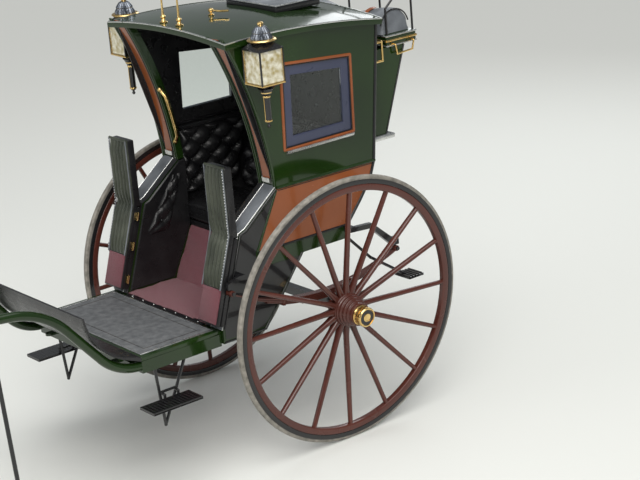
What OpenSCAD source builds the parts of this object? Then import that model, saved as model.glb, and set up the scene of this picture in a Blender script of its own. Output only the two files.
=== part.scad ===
// Hansom cab: a two-wheeled carriage with the driver's seat high behind the roof.
// +X is forward, +Y is the cab's left, +Z is up and the ground is z = 0.

/* [Wheels] */
// Rolling radius of each wheel
wheel_r = 710; // [690:5:740]
// Distance between the two wheel planes
track = 1400; // [1380:10:1460]
// Lean of each wheel, top outwards, in degrees
camber = 3.6; // [2:0.2:4.4]
// Number of spokes in each wheel
spoke_count = 16; // [12:2:18]
// Depth of the rubber tyre with its steel channel
tyre_depth = 42; // [30:1:50]
// Depth of the wooden rim
felloe_depth = 37; // [30:1:45]
// Width of the wooden rim
felloe_width = 38; // [34:1:48]

/* [Body] */
// Width over the side panels
body_w = 1000; // [960:10:1040]
// Thickness of the side panels
panel_t = 30; // [20:1:36]
// Width of each arm wing beside the doors
wing_w = 140; // [120:5:160]
// Height of the footboard's top
deck_z = 740; // [720:5:760]
// Height of the panels' lower edge at the window band
belt_z = 1380; // [1340:5:1420]
// Height of the roof's side edge at the front
eave_front_z = 2166; // [2100:2:2200]
// Height of the roof's side edge at the back
eave_rear_z = 2112; // [2060:2:2150]
// Rise of the roof's crown over its side edges
roof_crown = 32; // [20:4:60]
// Thickness of the roof
roof_t = 30; // [20:1:36]

/* [Shafts and legs] */
// Distance from the axle to the front end of the footboard
deck_front = 1130; // [1080:10:1180]
// Length of each shaft in front of the footboard
shaft_reach = 1785; // [1600:5:1900]
// Radius of the shafts
shaft_r = 24; // [20:1:28]
// Angle by which the shafts close in towards their tips, in degrees
shaft_toe = 5; // [3:0.5:6]
// Lean of the prop legs at rest, foot to the rear, in degrees
leg_lean = 3; // [2:0.5:6]

/* [Doors] */
// Lean of the doors and of the wings' front ends, in degrees
door_lean = 17.5; // [14:0.5:20]
// Width of one door leaf between its hinge lines
leaf_pitch = 173; // [160:1:180]
// Thickness of one door leaf
leaf_t = 22; // [18:1:24]

/* [Hidden] */
$fn = 64;
half_w = body_w / 2;
inner_y = half_w - panel_t;
wing_y = half_w - wing_w;

// The whole object is centred along X on its own length
front_end = deck_front + shaft_reach * cos(shaft_toe);
rear_end = -821;
mid_x = (front_end + rear_end) / 2;

// ---------- shared shapes ----------
module placed() { translate([-mid_x, 0, 0]) children(); }

module mirrored_pair() {
    children();
    mirror([0, 1, 0]) children();
}

// An X-Z outline given thickness between two Y planes
module slab_y(y0, y1) {
    translate([0, y1, 0]) rotate([90, 0, 0]) linear_extrude(y1 - y0) children();
}

// A round bar from one point to another
module bar(a, b, r) {
    d = b - a;
    len = norm(d);
    translate(a) rotate([0, acos(d.z / len), atan2(d.y, d.x)]) cylinder(r = r, h = len, $fn = 32);
}

// Round bars through a list of points with a slightly swollen ball at each forged bend
module bent_bar(pts, r) {
    for (i = [0 : len(pts) - 2]) bar(pts[i], pts[i + 1], r);
    for (i = [1 : len(pts) - 2]) translate(pts[i]) sphere(r = r * 1.12, $fn = 32);
}

function arc_points(c, r, a0, a1, n) =
    [for (i = [0 : n]) let (a = a0 + (a1 - a0) * i / n) [c.x + r * cos(a), c.y + r * sin(a)]];

// Centre of the circle of radius r through p and q, on the right of the way from p to q
function arc_centre(p, q, r) =
    let (m = (p + q) / 2, d = q - p, l = norm(d), h = sqrt(r * r - l * l / 4))
    m + h * [d.y, -d.x] / l;
function angle_at(c, p) = atan2(p.y - c.y, p.x - c.x);

// ---------- body outlines in X-Z ----------
pillar_foot = [249, 1390];
pillar_top = [490, 2190];
pillar_r = 2030;
pillar_c = arc_centre(pillar_foot, pillar_top, pillar_r);
pillar_t = 36;
function pillar_arc(r, n = 16) =
    arc_points(pillar_c, r, angle_at(pillar_c, pillar_foot), angle_at(pillar_c, pillar_top), n);
wing_front_top = [503, 1208];
wing_ledge_low = [463, 1222];
wing_front_low = [652, deck_z];
seam_low = [395, 1088];
sill_z = 1010;
sill_top = 1088;
rear_low = [-200, sill_top];
rear_mid = [-365, 1290];
rear_belt = [-400, belt_z];
rear_top = [-482, 2200];

module pillar_outline() {
    outer = pillar_arc(pillar_r);
    inner = pillar_arc(pillar_r + pillar_t);
    polygon(concat(outer, [for (i = [len(inner) - 1 : -1 : 0]) inner[i]]));
}

module side_panel_outline() {
    polygon(concat([rear_belt, [pillar_foot.x - pillar_t, belt_z]], pillar_arc(pillar_r + pillar_t), [rear_top]));
}

module window_outline(grow) {
    offset(delta = grow) polygon([[150, 1990], [-277, 1955], [-266, 1572], [167, 1570]]);
}

module quarter_outline() {
    polygon(concat([[pillar_foot.x - pillar_t, belt_z], [pillar_foot.x, belt_z], seam_low, rear_low],
                   [rear_mid, rear_belt]));
}

module wing_outline() {
    polygon([[652, 668], wing_front_low, wing_front_top, wing_ledge_low, pillar_foot, [pillar_foot.x, belt_z],
             seam_low, [seam_low.x, sill_z], [112, sill_z], [385, 668]]);
}

// ---------- roof ----------
eave_y = half_w + 20;
eave_front = [490, eave_front_z];
eave_rear = [-492, eave_rear_z];
eave_rise = 27;
eave_chord = norm(eave_front - eave_rear);
eave_r = (eave_chord * eave_chord / 4 + eave_rise * eave_rise) / (2 * eave_rise);
eave_c = arc_centre(eave_rear, eave_front, eave_r);
crown_r = (eave_y * eave_y + roof_crown * roof_crown) / (2 * roof_crown);

// Section across the roof, as distance from the fore-and-aft arc's axis against Y
module roof_section(depth_low, depth_high) {
    intersection() {
        difference() {
            translate([eave_r + roof_crown - crown_r, 0]) circle(r = crown_r + depth_high, $fn = 360);
            translate([eave_r + roof_crown - crown_r, 0]) circle(r = crown_r - depth_low, $fn = 360);
        }
        translate([eave_r - 150, -eave_y]) square([500, 2 * eave_y]);
    }
}

module roof_sweep(depth_low, depth_high, a0, a1) {
    translate([eave_c.x, 0, eave_c.y]) rotate([90, 0, 0]) rotate([0, 0, a0])
        rotate_extrude(angle = a1 - a0, $fn = 720) roof_section(depth_low, depth_high);
}
roof_a0 = angle_at(eave_c, eave_front);
roof_a1 = angle_at(eave_c, eave_rear);

// All the space above the roof's underside
module above_roof() { roof_sweep(roof_t, 140, roof_a0 - 1, roof_a1 + 1.5); }

// ---------- body pieces ----------
module footboard() {
    color("dimgray") slab_y(-half_w + 20, half_w - 20)
        polygon([[655, deck_z - 22], [deck_front, deck_z - 22], [deck_front, deck_z], [655, deck_z]]);
}

rail_y = half_w - 45;
module rail(side) {
    translate([655, side * rail_y - 25, deck_z - 85]) cube([deck_front - 655, 50, 63]);
}

dash_t = 10;
module dash() {
    color("black") slab_y(-half_w + 20, half_w - 20)
        polygon(concat(
            [[deck_front, deck_z - 22]],
            arc_points([deck_front - 40, deck_z + 330], 332 + dash_t, -65, -8, 12),
            [for (i = [12 : -1 : 0]) arc_points([deck_front - 40, deck_z + 330], 332, -65, -8, 12)[i]],
            [[deck_front, deck_z]]));
}

// Shaft path inside its own vertical plane
bend_up = 50;
bend_up_r = 260;
rise = 250;
bend_over = 46;
bend_over_r = 400;
rail_z = deck_z - 53;
b1 = [bend_up_r * sin(bend_up), bend_up_r * (1 - cos(bend_up))];
b2 = b1 + rise * [cos(bend_up), sin(bend_up)];
over_c = b2 + bend_over_r * [sin(bend_up), -cos(bend_up)];
end_a = bend_up - bend_over;
b3 = over_c + bend_over_r * [-sin(end_a), cos(end_a)];
b4 = b3 + (shaft_reach - b3.x) * [1, tan(end_a)];
pin_s = 745;
pin_drop = 52;
pin_at = [pin_s, b3.y + (pin_s - b3.x) * tan(end_a) - pin_drop];
pin_r = 8;

module in_shaft_plane(side) {
    translate([deck_front, side * rail_y, rail_z]) rotate([0, 0, -side * shaft_toe]) children();
}

module shaft_bend(c, r, a0, a1) {
    translate([c.x, 0, c.y]) rotate([90, 0, 0]) rotate([0, 0, a0])
        rotate_extrude(angle = a1 - a0) translate([r, 0]) circle(r = shaft_r, $fn = 32);
}

straight_r = shaft_r - 0.5;
// A straight stretch, let a little way into the bends at its ends
module shaft_straight(p, q) {
    into = 6 * (q - p) / norm(q - p);
    bar([p.x - into.x, 0, p.y - into.y], [q.x + into.x, 0, q.y + into.y], straight_r);
}

// The long front stretch, turned down to a blunt round tip
module shaft_end() {
    reach = norm(b4 - b3) - straight_r * sin(end_a);
    rotate_extrude() polygon(concat([[0, -6], [straight_r, -6]],
        [for (a = [0 : 15 : 90]) [straight_r * cos(a), reach - straight_r + straight_r * sin(a)]]));
}

module shaft(side) {
    color("darkgreen") {
        rail(side);
        in_shaft_plane(side) {
            bar([-30, 0, 0], [6, 0, 0], straight_r);
            shaft_bend([0, bend_up_r], bend_up_r, -90, -90 + bend_up);
            shaft_straight(b1, b2);
            shaft_bend(over_c, bend_over_r, 90 + end_a, 90 + bend_up);
            translate([b3.x, 0, b3.y]) rotate([0, 90 - end_a, 0]) shaft_end();
            difference() {
                for (y = [-20, 14]) translate([pin_at.x - 18, y, pin_at.y - 18]) cube([36, 6, pin_drop]);
                translate([pin_at.x, 25, pin_at.y]) rotate([90, 0, 0]) cylinder(r = pin_r, h = 50);
            }
            translate([pin_at.x, 26, pin_at.y]) rotate([90, 0, 0]) cylinder(r = pin_r, h = 52);
        }
    }
}

eye_y = 300;
eye_reach = 36;
eye_r = 10;
module splinter_bar() {
    bar_half = rail_y - 32;
    color("darkgreen") {
        translate([deck_front - 10, -bar_half, rail_z - 27]) cube([45, 2 * bar_half, 50]);
        for (s = [-1, 1]) translate([deck_front + 35, s * eye_y, rail_z - 6]) difference() {
            union() {
                translate([-2, -20, 0]) cube([eye_reach - 12, 40, 12]);
                translate([eye_reach - 14, 0, 0]) cylinder(r = 20, h = 12);
            }
            translate([eye_reach - 14, 0, -5]) cylinder(r = eye_r, h = 30);
        }
    }
}

module prop_leg(side) {
    foot_z = -rail_z + 16;
    leg_len = (pin_at.y - foot_z) / cos(leg_lean);
    color("black") in_shaft_plane(side) translate([pin_at.x, 0, pin_at.y]) rotate([0, leg_lean, 0])
        difference() {
            union() {
                rotate([90, 0, 0]) cylinder(r = 18, h = 26, center = true);
                translate([0, 0, -leg_len]) cylinder(r = 11, h = leg_len, $fn = 32);
                translate([0, 0, -leg_len]) sphere(r = 16, $fn = 48);
            }
            rotate([90, 0, 0]) cylinder(r = pin_r + 0.06, h = 40, center = true);
        }
}

module foot_well() {
    color("maroon") slab_y(-wing_y, wing_y)
        polygon([[655, 668], [655, deck_z], [340, deck_z], [205, 1010], [112, 1010], [385, 668]]);
}

module sills() {
    color("darkgreen") {
        for (s = [-1, 1]) slab_y(min(s * (inner_y - 30), s * half_w), max(s * (inner_y - 30), s * half_w))
            polygon([[seam_low.x, sill_z], [seam_low.x, sill_top], [-200, sill_top], [-180, sill_z]]);
        translate([-180, -inner_y + 30, sill_z]) cube([40, 2 * inner_y - 60, 30]);
    }
}

module seat_base() {
    color("black") {
        slab_y(-inner_y + 30, inner_y - 30) polygon([[205, sill_z], [205, sill_z + 30], [-140, sill_z + 30], [-140, sill_z]]);
    }
}

module wing(side) {
    y0 = min(side * wing_y, side * half_w);
    color("darkgreen") slab_y(y0, y0 + wing_w) wing_outline();
}

module quarter_panel(side) {
    y0 = min(side * inner_y, side * half_w);
    color("sienna") slab_y(y0, y0 + panel_t) quarter_outline();
}

module side_panel(side) {
    y0 = min(side * inner_y, side * half_w);
    color("darkgreen") difference() {
        slab_y(y0, y0 + panel_t) difference() {
            side_panel_outline();
            window_outline(0);
        }
        above_roof();
    }
}

module front_pillar(side) {
    y0 = min(side * wing_y, side * half_w);
    color("darkgreen") difference() {
        slab_y(y0, y0 + wing_w) pillar_outline();
        above_roof();
    }
}

module rear_wall() {
    t = 24;
    color("darkgreen") difference() {
        slab_y(-inner_y, inner_y) polygon([
            rear_top, rear_belt, rear_mid, rear_low, rear_low + [28, 0], rear_mid + [t, 10],
            rear_belt + [t, 0], rear_top + [t, 0]]);
        above_roof();
    }
}

hatch_x = -200;
hatch_l = 300;
hatch_w = 440;
module roof() {
    color("darkgreen") difference() {
        roof_sweep(roof_t, 0, roof_a0, roof_a1);
        translate([hatch_x - hatch_l / 2, -hatch_w / 2, 2000]) cube([hatch_l, hatch_w, 400]);
    }
}

hatch_top_z = 2224;
module roof_hatch() {
    gap = 6;
    color("dimgray") difference() {
        translate([hatch_x - hatch_l / 2 + gap, -hatch_w / 2 + gap, hatch_top_z - 42])
            cube([hatch_l - 2 * gap, hatch_w - 2 * gap, 42]);
        translate([hatch_x - hatch_l / 2 + gap + 20, -hatch_w / 2 + gap + 20, hatch_top_z - 60])
            cube([hatch_l - 2 * gap - 40, hatch_w - 2 * gap - 40, 40]);
    }
}

module window_frames() {
    color("slategray") for (s = [-1, 1]) {
        y0 = min(s * (inner_y + 4), s * (half_w - 4));
        slab_y(y0, y0 + panel_t - 8) difference() {
            window_outline(0);
            window_outline(-52);
        }
    }
}

module window_glass() {
    color("lightblue") for (s = [-1, 1]) {
        y0 = min(s * (inner_y + 12), s * (half_w - 12));
        slab_y(y0, y0 + panel_t - 24) window_outline(-52);
    }
}

// ---------- inside ----------
seat_top = 1150;
module seat_cushion() {
    color("black") slab_y(-inner_y + 32, inner_y - 32)
        polygon([[195, sill_z + 30], [225, seat_top - 40], [200, seat_top], [-150, seat_top - 20],
                 [-170, seat_top - 40], [-138, sill_z + 30]]);
}

module back_cushion() {
    color("black") slab_y(-inner_y + 72, inner_y - 72)
        polygon([[-175, seat_top - 15], [-210, 1300], [-290, 1540], [-385, 1540], [-362, 1380], [-326, 1290],
                 [-220, 1160]]);
}

module side_cushions() {
    color("black") for (s = [-1, 1]) {
        y0 = min(s * (inner_y - 70), s * inner_y);
        slab_y(y0, y0 + 70) polygon([[190, 1160], [205, 1385], [185, 1530], [-285, 1530], [-212, 1300], [-178, 1160]]);
    }
}

// ---------- lamps ----------
lamp_x = 330;
lamp_y = half_w + 100;
lamp_w = 145;
lamp_low = 1946;
lamp_high = 2140;
module lamp() {
    translate([lamp_x, lamp_y, 0]) {
        translate([-lamp_w / 2, -lamp_w / 2, lamp_low]) cube([lamp_w, lamp_w, lamp_high - lamp_low]);
        rotate_extrude() polygon([[0, 1728], [9, 1735], [13, 1760], [20, 1762], [20, 1905], [27, 1915], [27, 1925],
            [45, lamp_low], [0, lamp_low]]);
        rotate_extrude() polygon([[0, lamp_high], [60, lamp_high], [45, 2160], [58, 2168], [58, 2178], [44, 2182],
            [40, 2200], [24, 2232], [20, 2240], [16, 2252], [0, 2256]]);
        translate([-10, -lamp_w / 2 - (lamp_y - half_w - lamp_w / 2), 1990]) cube([20, lamp_y - half_w - lamp_w / 2, 110]);
    }
}
module lamps() { color("gold") mirrored_pair() lamp(); }

guide_x = 440;
guide_top = 2352;
module rein_guide() {
    color("goldenrod") difference() {
        union() {
            for (s = [-1, 1]) {
                bar([guide_x, s * 70, 2150], [guide_x, s * 70, guide_top], 5);
                bar([guide_x, s * 70, 2150], [guide_x, s * 70, 2208], 16);
            }
            bar([guide_x, -82, guide_top - 8], [guide_x, 82, guide_top - 8], 6);
        }
        roof_sweep(roof_t + 40, 0, roof_a0 - 1, roof_a1 + 1);
    }
}

// ---------- driver's place ----------
box_front = -616;
box_rear = -820;
box_z = 1920;
module driver_seat_box() {
    color("darkgreen") translate([box_rear, -400, box_z]) cube([box_front - box_rear, 800, 62]);
}

cushion_rear = box_rear + 20;
cushion_front = box_front + 12;
module driver_cushion() {
    color("dimgray") slab_y(-374, 374) polygon(concat([[cushion_front, box_z + 63], [cushion_rear, box_z + 63]],
        arc_points([(cushion_front + cushion_rear) / 2, box_z + 92], 97, 168, 12, 14)));
}

rail_half = 390;
module driver_rail() {
    top = box_z + 62;
    color("black") difference() {
        union() {
            mirrored_pair() bent_bar([[box_front - 14, rail_half, top - 20], [box_front - 14, rail_half, 2120],
                [box_front - 90, rail_half, 2185], [box_rear + 16, rail_half, 2262]], 6);
            for (y = [-rail_half + 6, -130, 130, rail_half - 6])
                bar([box_rear + 7, y, top - 20], [box_rear + 7, y, 2262], 6);
            bar([box_rear + 7, -rail_half - 8, 2262], [box_rear + 7, rail_half + 8, 2262], 8);
        }
        driver_seat_box();
    }
}

module driver_well() {
    low_z = 1465;
    color("darkgreen") {
        for (s = [-1, 1]) slab_y(min(s * 385, s * 400), max(s * 385, s * 400))
            polygon([[-414, low_z], [-464, box_z], [-735, box_z], [-570, low_z]]);
        slab_y(-385, 385) polygon([[-555, low_z], [-720, box_z], [-735, box_z], [-570, low_z]]);
    }
}

module driver_footboard() {
    color("gray") translate([-615, -415, 1440]) cube([205, 830, 25]);
}

module grab_handles() {
    color("gold") mirrored_pair() difference() {
        union() {
            bent_bar([[-440, 480, 1980], [-515, 480, 1980], [-515, 480, 1880], [-430, 480, 1880]], 6);
            bent_bar([[-650, 395, 1935], [-655, 424, 1930], [-665, 424, 1880], [-770, 424, 1887],
                [-782, 424, 1932], [-785, 395, 1937]], 5);
        }
        side_panel(1);
        driver_seat_box();
    }
}

// ---------- running gear ----------
spring_y = half_w + 36;
spring_w = 44;
spring_front = [609, 935];
spring_rear = [-461, 889];
spring_r = 1280;
function lower_centre(p, q, r) = let (m = (p + q) / 2, d = q - p, l = norm(d), h = sqrt(r * r - l * l / 4))
    m + h * [-d.y, d.x] / l;
spring_c = lower_centre(spring_rear, spring_front, spring_r);
axle_z = wheel_r * cos(camber);
axle_half = 22;
leaf_count = 5;
leaf_step = 5;
spring_leaf_t = 8;
// The stack of leaves in one outline: a long top leaf and shorter ones below it
module spring_outline() {
    a0 = angle_at(spring_c, spring_rear);
    a1 = angle_at(spring_c, spring_front);
    last = leaf_count - 1;
    polygon(concat(
        arc_points(spring_c, spring_r, a0, a1, 16),
        [for (i = [0 : last - 1], p = arc_points(spring_c, spring_r + spring_leaf_t * (i + 1),
            a1 - i * leaf_step, a1 - (i + 1) * leaf_step, 3)) p],
        arc_points(spring_c, spring_r + spring_leaf_t * leaf_count, a1 - last * leaf_step, a0 + last * leaf_step, 10),
        [for (i = [last - 1 : -1 : 0], p = arc_points(spring_c, spring_r + spring_leaf_t * (i + 1),
            a0 + (i + 1) * leaf_step, a0 + i * leaf_step, 3)) p]));
}
module springs() {
    color("maroon") mirrored_pair() {
        slab_y(spring_y - spring_w / 2, spring_y + spring_w / 2) spring_outline();
        for (p = [spring_front, spring_rear]) translate([p.x, spring_y + spring_w / 2, p.y]) rotate([90, 0, 0])
            cylinder(r = 16, h = spring_w);
    }
}

module spring_irons() {
    color("black") mirrored_pair() {
        slab_y(spring_y - 10, spring_y + 10) polygon([[590, 955], [628, 955], [628, 985],
            [560, 1010], [518, 1010], [518, 990], [556, 988], [590, 975]]);
        translate([518, half_w, 985]) cube([40, spring_y - half_w + 10, 26]);
        slab_y(spring_y - 14, spring_y + 14) polygon([[-482, 908], [-440, 908], [-300, 1040], [-160, 1050], [-160, 1075],
            [-310, 1066], [-445, 950], [-482, 950]]);
        translate([-200, half_w, 1050]) cube([40, spring_y - half_w + 10, 25]);
    }
}

arm_r = 25;
hub_in = -105;
module axle() {
    arm_y = track / 2;
    color("black") {
        translate([-axle_half, -560, axle_z - 15]) cube([2 * axle_half, 1120, 44]);
        mirrored_pair() {
            at_hub() translate([0, 0, hub_in - 40]) cylinder(r = 34, h = 38);
            at_hub() translate([0, 0, hub_in - 3]) cylinder(r = arm_r, h = 190);
            difference() {
                translate([-26, spring_y - 26, axle_z + 29]) cube([52, 52, 80]);
                translate([spring_c.x, spring_y + 40, spring_c.y]) rotate([90, 0, 0])
                    cylinder(r = spring_r + spring_leaf_t * leaf_count, h = 80, $fn = 360);
            }
        }
    }
}

module at_hub() { translate([0, track / 2, axle_z]) rotate([-90 - camber, 0, 0]) children(); }

module ring(points) { rotate_extrude($fn = 180) polygon(points); }

rim_out = wheel_r - tyre_depth;
rim_in = rim_out - felloe_depth;
nave_r = 88;
module tyre() {
    w = felloe_width / 2;
    t = tan(camber);
    ring([[rim_out, -w], [wheel_r - 14, -w], [wheel_r + w * t - 6, -w + 4], [wheel_r + (w - 8) * t, -w + 8],
          [wheel_r - (w - 8) * t, w - 8], [wheel_r - w * t - 6, w - 4], [wheel_r - 14, w], [rim_out, w]]);
}
module felloe() {
    w = felloe_width / 2;
    ring([[rim_in, -w + 8], [rim_in + 8, -w], [rim_out, -w], [rim_out, w], [rim_in + 8, w], [rim_in, w - 8]]);
}
module spokes() {
    dish = 34;
    difference() {
        for (i = [0 : spoke_count - 1]) rotate([0, 0, 90 + 360 * i / spoke_count])
            bar([60, 0, -dish], [rim_in + 12, 0, 0], 13);
        translate([0, 0, -150]) cylinder(r = nave_r, h = 300);
        ring([[rim_in, -80], [rim_in + 60, -80], [rim_in + 60, 80], [rim_in, 80]]);
    }
}
bore_r = arm_r + 0.06;
module nave() {
    rotate_extrude() polygon([[bore_r, hub_in], [62, hub_in], [66, hub_in + 14], [74, hub_in + 30], [nave_r, hub_in + 44],
        [nave_r, 6], [80, 14], [80, 30], [72, 34], [72, 50], [64, 54], [62, 88], [bore_r, 88]]);
}
module hub_cap() {
    rotate_extrude() polygon([[0, 90], [bore_r, 90], [bore_r, 88], [55, 88], [57, 120], [60, 124], [60, 140], [50, 146], [50, 138], [0, 138]]);
}

// ---------- steps ----------
module front_steps() {
    y = half_w - 40;
    color("black") mirrored_pair() difference() {
        union() {
            bent_bar([[862, y, 675], [1020, y, 345], [1052, y, 675]], 8);
            bar([930, y, 520], [1040, y, 520], 7);
            translate([880, y + 20, 478]) cube([290, 125, 14]);
            for (x = [950, 1030]) bent_bar([[x, y, 521], [x, y + 34, 515], [x, y + 34, 485]], 7.5);
        }
        rail(1);
    }
}

module rear_steps() {
    color("black") mirrored_pair() difference() {
        union() {
            bent_bar([[-170, half_w - 25, 1030], [-330, half_w - 10, 860], [-560, half_w, 703]], 8);
            translate([-630, half_w - 60, 695]) cube([100, 120, 12]);
        }
        sills();
    }
}

// ---------- doors ----------
hinge_out = 25;
hinge_y = wing_y - 15;
hinge_base = wing_front_low + hinge_out * [cos(door_lean), sin(door_lean)];
leaf_low = 22;
leaf_bend = 478;
// Door frame: x across the leaf towards the outside, y forward off the leaf, z up along the hinge line
module in_door(side) {
    mirror([0, side < 0 ? 1 : 0, 0])
        translate([hinge_base.x, hinge_y, hinge_base.y]) rotate([0, -door_lean, 0])
            rotate([0, 0, 90]) mirror([0, 1, 0]) children();
}
fold_y = 7;
knee_t = 45;
knee_h = 350;
leaf_back = 10;
leaf_front = [leaf_back + leaf_t, leaf_bend];
// The lower board seen from its edge, mitred to meet the knee roll
module board_outline() {
    polygon([[leaf_back, leaf_low], [leaf_front.x, leaf_low], leaf_front,
        [leaf_back, leaf_bend + leaf_t * tan(door_lean)]]);
}
// The thick padded roll that stands upright on the board
module roll_outline() {
    up = [sin(door_lean), cos(door_lean)];
    back = [-cos(door_lean), sin(door_lean)];
    polygon([leaf_front, leaf_front + knee_h * up, leaf_front + knee_h * up + back * knee_t,
        leaf_front + back * knee_t]);
}
module knee_roll(side) {
    color("dimgray") in_door(side)
        translate([9, 0, 0]) rotate([90, 0, 90]) linear_extrude(leaf_pitch - 13) roll_outline();
}
module door_outer(side) {
    color("darkolivegreen") in_door(side) {
        translate([9, 0, 0]) rotate([90, 0, 90]) linear_extrude(leaf_pitch - 13) board_outline();
        for (z = [60, 240, 400]) {
            translate([0, 0, z]) cylinder(r = 5, h = 40);
            translate([-3, 0, z]) cube([13, 12, 40]);
            translate([leaf_pitch, fold_y, z]) cylinder(r = 2.6, h = 40);
            translate([leaf_pitch - 5, fold_y, z]) cube([5, 5, 40]);
        }
    }
}
module door_inner(side) {
    color("darkolivegreen") in_door(side) {
        translate([16, 4 - leaf_t, leaf_low]) cube([leaf_pitch - 20, leaf_t, leaf_bend - leaf_low - 10]);
        for (z = [110, 290]) {
            translate([leaf_pitch, fold_y, z]) cylinder(r = 2.6, h = 40);
            translate([leaf_pitch - 5, fold_y - 5, z]) cube([5, 5, 40]);
        }
    }
}

placed() footboard();
placed() dash();
placed() shaft(1);  // shaft_left
placed() shaft(-1);  // shaft_right
placed() splinter_bar();
placed() foot_well();
placed() sills();
placed() seat_base();
placed() wing(1);  // wing_left
placed() wing(-1);  // wing_right
placed() quarter_panel(1);  // quarter_panel_left
placed() quarter_panel(-1);  // quarter_panel_right
placed() side_panel(1);  // side_panel_left
placed() side_panel(-1);  // side_panel_right
placed() front_pillar(1);  // front_pillar_left
placed() front_pillar(-1);  // front_pillar_right
placed() rear_wall();
placed() roof();
placed() window_frames();
placed() window_glass();
placed() roof_hatch();
placed() seat_cushion();
placed() back_cushion();
placed() side_cushions();
placed() lamps();
placed() rein_guide();
placed() driver_seat_box();
placed() driver_cushion();
placed() driver_rail();
placed() driver_well();
placed() driver_footboard();
placed() grab_handles();
placed() rear_steps();
placed() springs();
placed() spring_irons();
placed() axle();
placed() front_steps();
placed() color("dimgray") at_hub() tyre();  // tyre_left
placed() color("dimgray") mirror([0, 1, 0]) at_hub() tyre();  // tyre_right
placed() color("maroon") at_hub() felloe();  // felloe_left
placed() color("maroon") mirror([0, 1, 0]) at_hub() felloe();  // felloe_right
placed() color("maroon") at_hub() spokes();  // spokes_left
placed() color("maroon") mirror([0, 1, 0]) at_hub() spokes();  // spokes_right
placed() color("maroon") at_hub() nave();  // nave_left
placed() color("maroon") mirror([0, 1, 0]) at_hub() nave();  // nave_right
placed() color("gold") at_hub() hub_cap();  // hub_cap_left
placed() color("gold") mirror([0, 1, 0]) at_hub() hub_cap();  // hub_cap_right
placed() door_outer(1);  // door_outer_left
placed() door_outer(-1);  // door_outer_right
placed() knee_roll(1);  // knee_roll_left
placed() knee_roll(-1);  // knee_roll_right
placed() door_inner(1);  // door_inner_left
placed() door_inner(-1);  // door_inner_right
placed() prop_leg(1);  // prop_leg_left
placed() prop_leg(-1);  // prop_leg_right
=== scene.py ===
import math

import bmesh
import bpy
from mathutils import Matrix, Vector


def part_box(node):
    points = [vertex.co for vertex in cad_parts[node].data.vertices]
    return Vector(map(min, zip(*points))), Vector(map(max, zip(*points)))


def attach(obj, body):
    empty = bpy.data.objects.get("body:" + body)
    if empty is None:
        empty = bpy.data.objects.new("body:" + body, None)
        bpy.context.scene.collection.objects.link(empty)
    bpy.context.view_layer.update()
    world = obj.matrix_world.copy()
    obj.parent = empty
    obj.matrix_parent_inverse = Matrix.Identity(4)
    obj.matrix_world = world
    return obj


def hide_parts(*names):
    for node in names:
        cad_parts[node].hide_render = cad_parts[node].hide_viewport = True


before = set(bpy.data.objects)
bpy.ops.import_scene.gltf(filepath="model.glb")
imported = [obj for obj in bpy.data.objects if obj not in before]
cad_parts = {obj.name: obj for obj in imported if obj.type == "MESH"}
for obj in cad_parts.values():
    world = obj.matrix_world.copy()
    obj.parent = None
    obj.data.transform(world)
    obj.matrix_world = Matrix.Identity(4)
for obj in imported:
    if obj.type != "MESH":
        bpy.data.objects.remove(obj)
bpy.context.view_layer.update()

# ---------------------------------------------------------------------------
# Setting out. The cab is measured from its axle, as a coachbuilder would: x is
# forward of the axle, y is to the cab's left and z is up from the ground.
# ---------------------------------------------------------------------------
tyre_low, tyre_high = [Vector(corner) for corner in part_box("tyre_left")]
axle_x = (tyre_low.x + tyre_high.x) / 2
hub_height = (tyre_low.z + tyre_high.z) / 2


def at(x, y, z):
    return Vector((axle_x + x, y, z))


def deselect():
    if bpy.context.object and bpy.context.object.mode != "OBJECT":
        bpy.ops.object.mode_set(mode="OBJECT")
    bpy.ops.object.select_all(action="DESELECT")


def pick(piece):
    deselect()
    piece.select_set(True)
    bpy.context.view_layer.objects.active = piece


# ---------------------------------------------------------------------------
# The studio: a pale floor, soft boxes and the camera that looks down on the
# cab's left front quarter from the height of a raised platform.
# ---------------------------------------------------------------------------
deselect()
bpy.ops.mesh.primitive_plane_add(size=60, location=(0, 0, 0))
floor = bpy.context.object
floor.name = "floor"
floor_finish = bpy.data.materials.new("pale_floor")
floor_finish.use_nodes = True
floor_shader = floor_finish.node_tree.nodes["Principled BSDF"]
floor_shader.inputs["Base Color"].default_value = (0.70, 0.71, 0.68, 1)
floor_shader.inputs["Roughness"].default_value = 0.85
floor.data.materials.append(floor_finish)

camera_data = bpy.data.cameras.new("camera")
camera_data.sensor_width = 36
camera_data.lens = 106.9
camera_data.clip_end = 100
camera = bpy.data.objects.new("camera", camera_data)
bpy.context.collection.objects.link(camera)
camera_place = at(5.625, 7.879, 4.04)
camera_aim = at(0.145, 0.689, 1.122)
camera_roll = math.radians(4.73)
look = (camera_aim - camera_place).normalized()
turn = look.to_track_quat("-Z", "Y")
camera.rotation_mode = "QUATERNION"
camera.rotation_quaternion = turn @ Matrix.Rotation(-camera_roll, 4, "Z").to_quaternion()
camera.location = camera_place
bpy.context.scene.camera = camera


def soft_box(name, place, aim, size, power, tint=(1, 1, 1)):
    light_data = bpy.data.lights.new(name, "AREA")
    light_data.shape = "RECTANGLE"
    light_data.size = size[0]
    light_data.size_y = size[1]
    light_data.energy = power
    light_data.color = tint
    light = bpy.data.objects.new(name, light_data)
    bpy.context.collection.objects.link(light)
    light.location = place
    light.rotation_mode = "QUATERNION"
    light.rotation_quaternion = (aim - place).to_track_quat("-Z", "Y")


soft_box("overhead", at(1.0, 1.0, 6.5), at(0.2, 0, 0.8), (6, 5), 120)
soft_box("key_left", at(3.5, 6.0, 4.5), at(0, 0.5, 1.0), (4, 3), 210, (1, 0.97, 0.93))
soft_box("fill_front", at(7.0, -1.5, 3.0), at(0.5, 0, 1.0), (4, 3), 70)
soft_box("back", at(-5.5, -3.0, 4.5), at(0, 0, 1.2), (4, 3), 90, (0.95, 0.98, 1))

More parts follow.
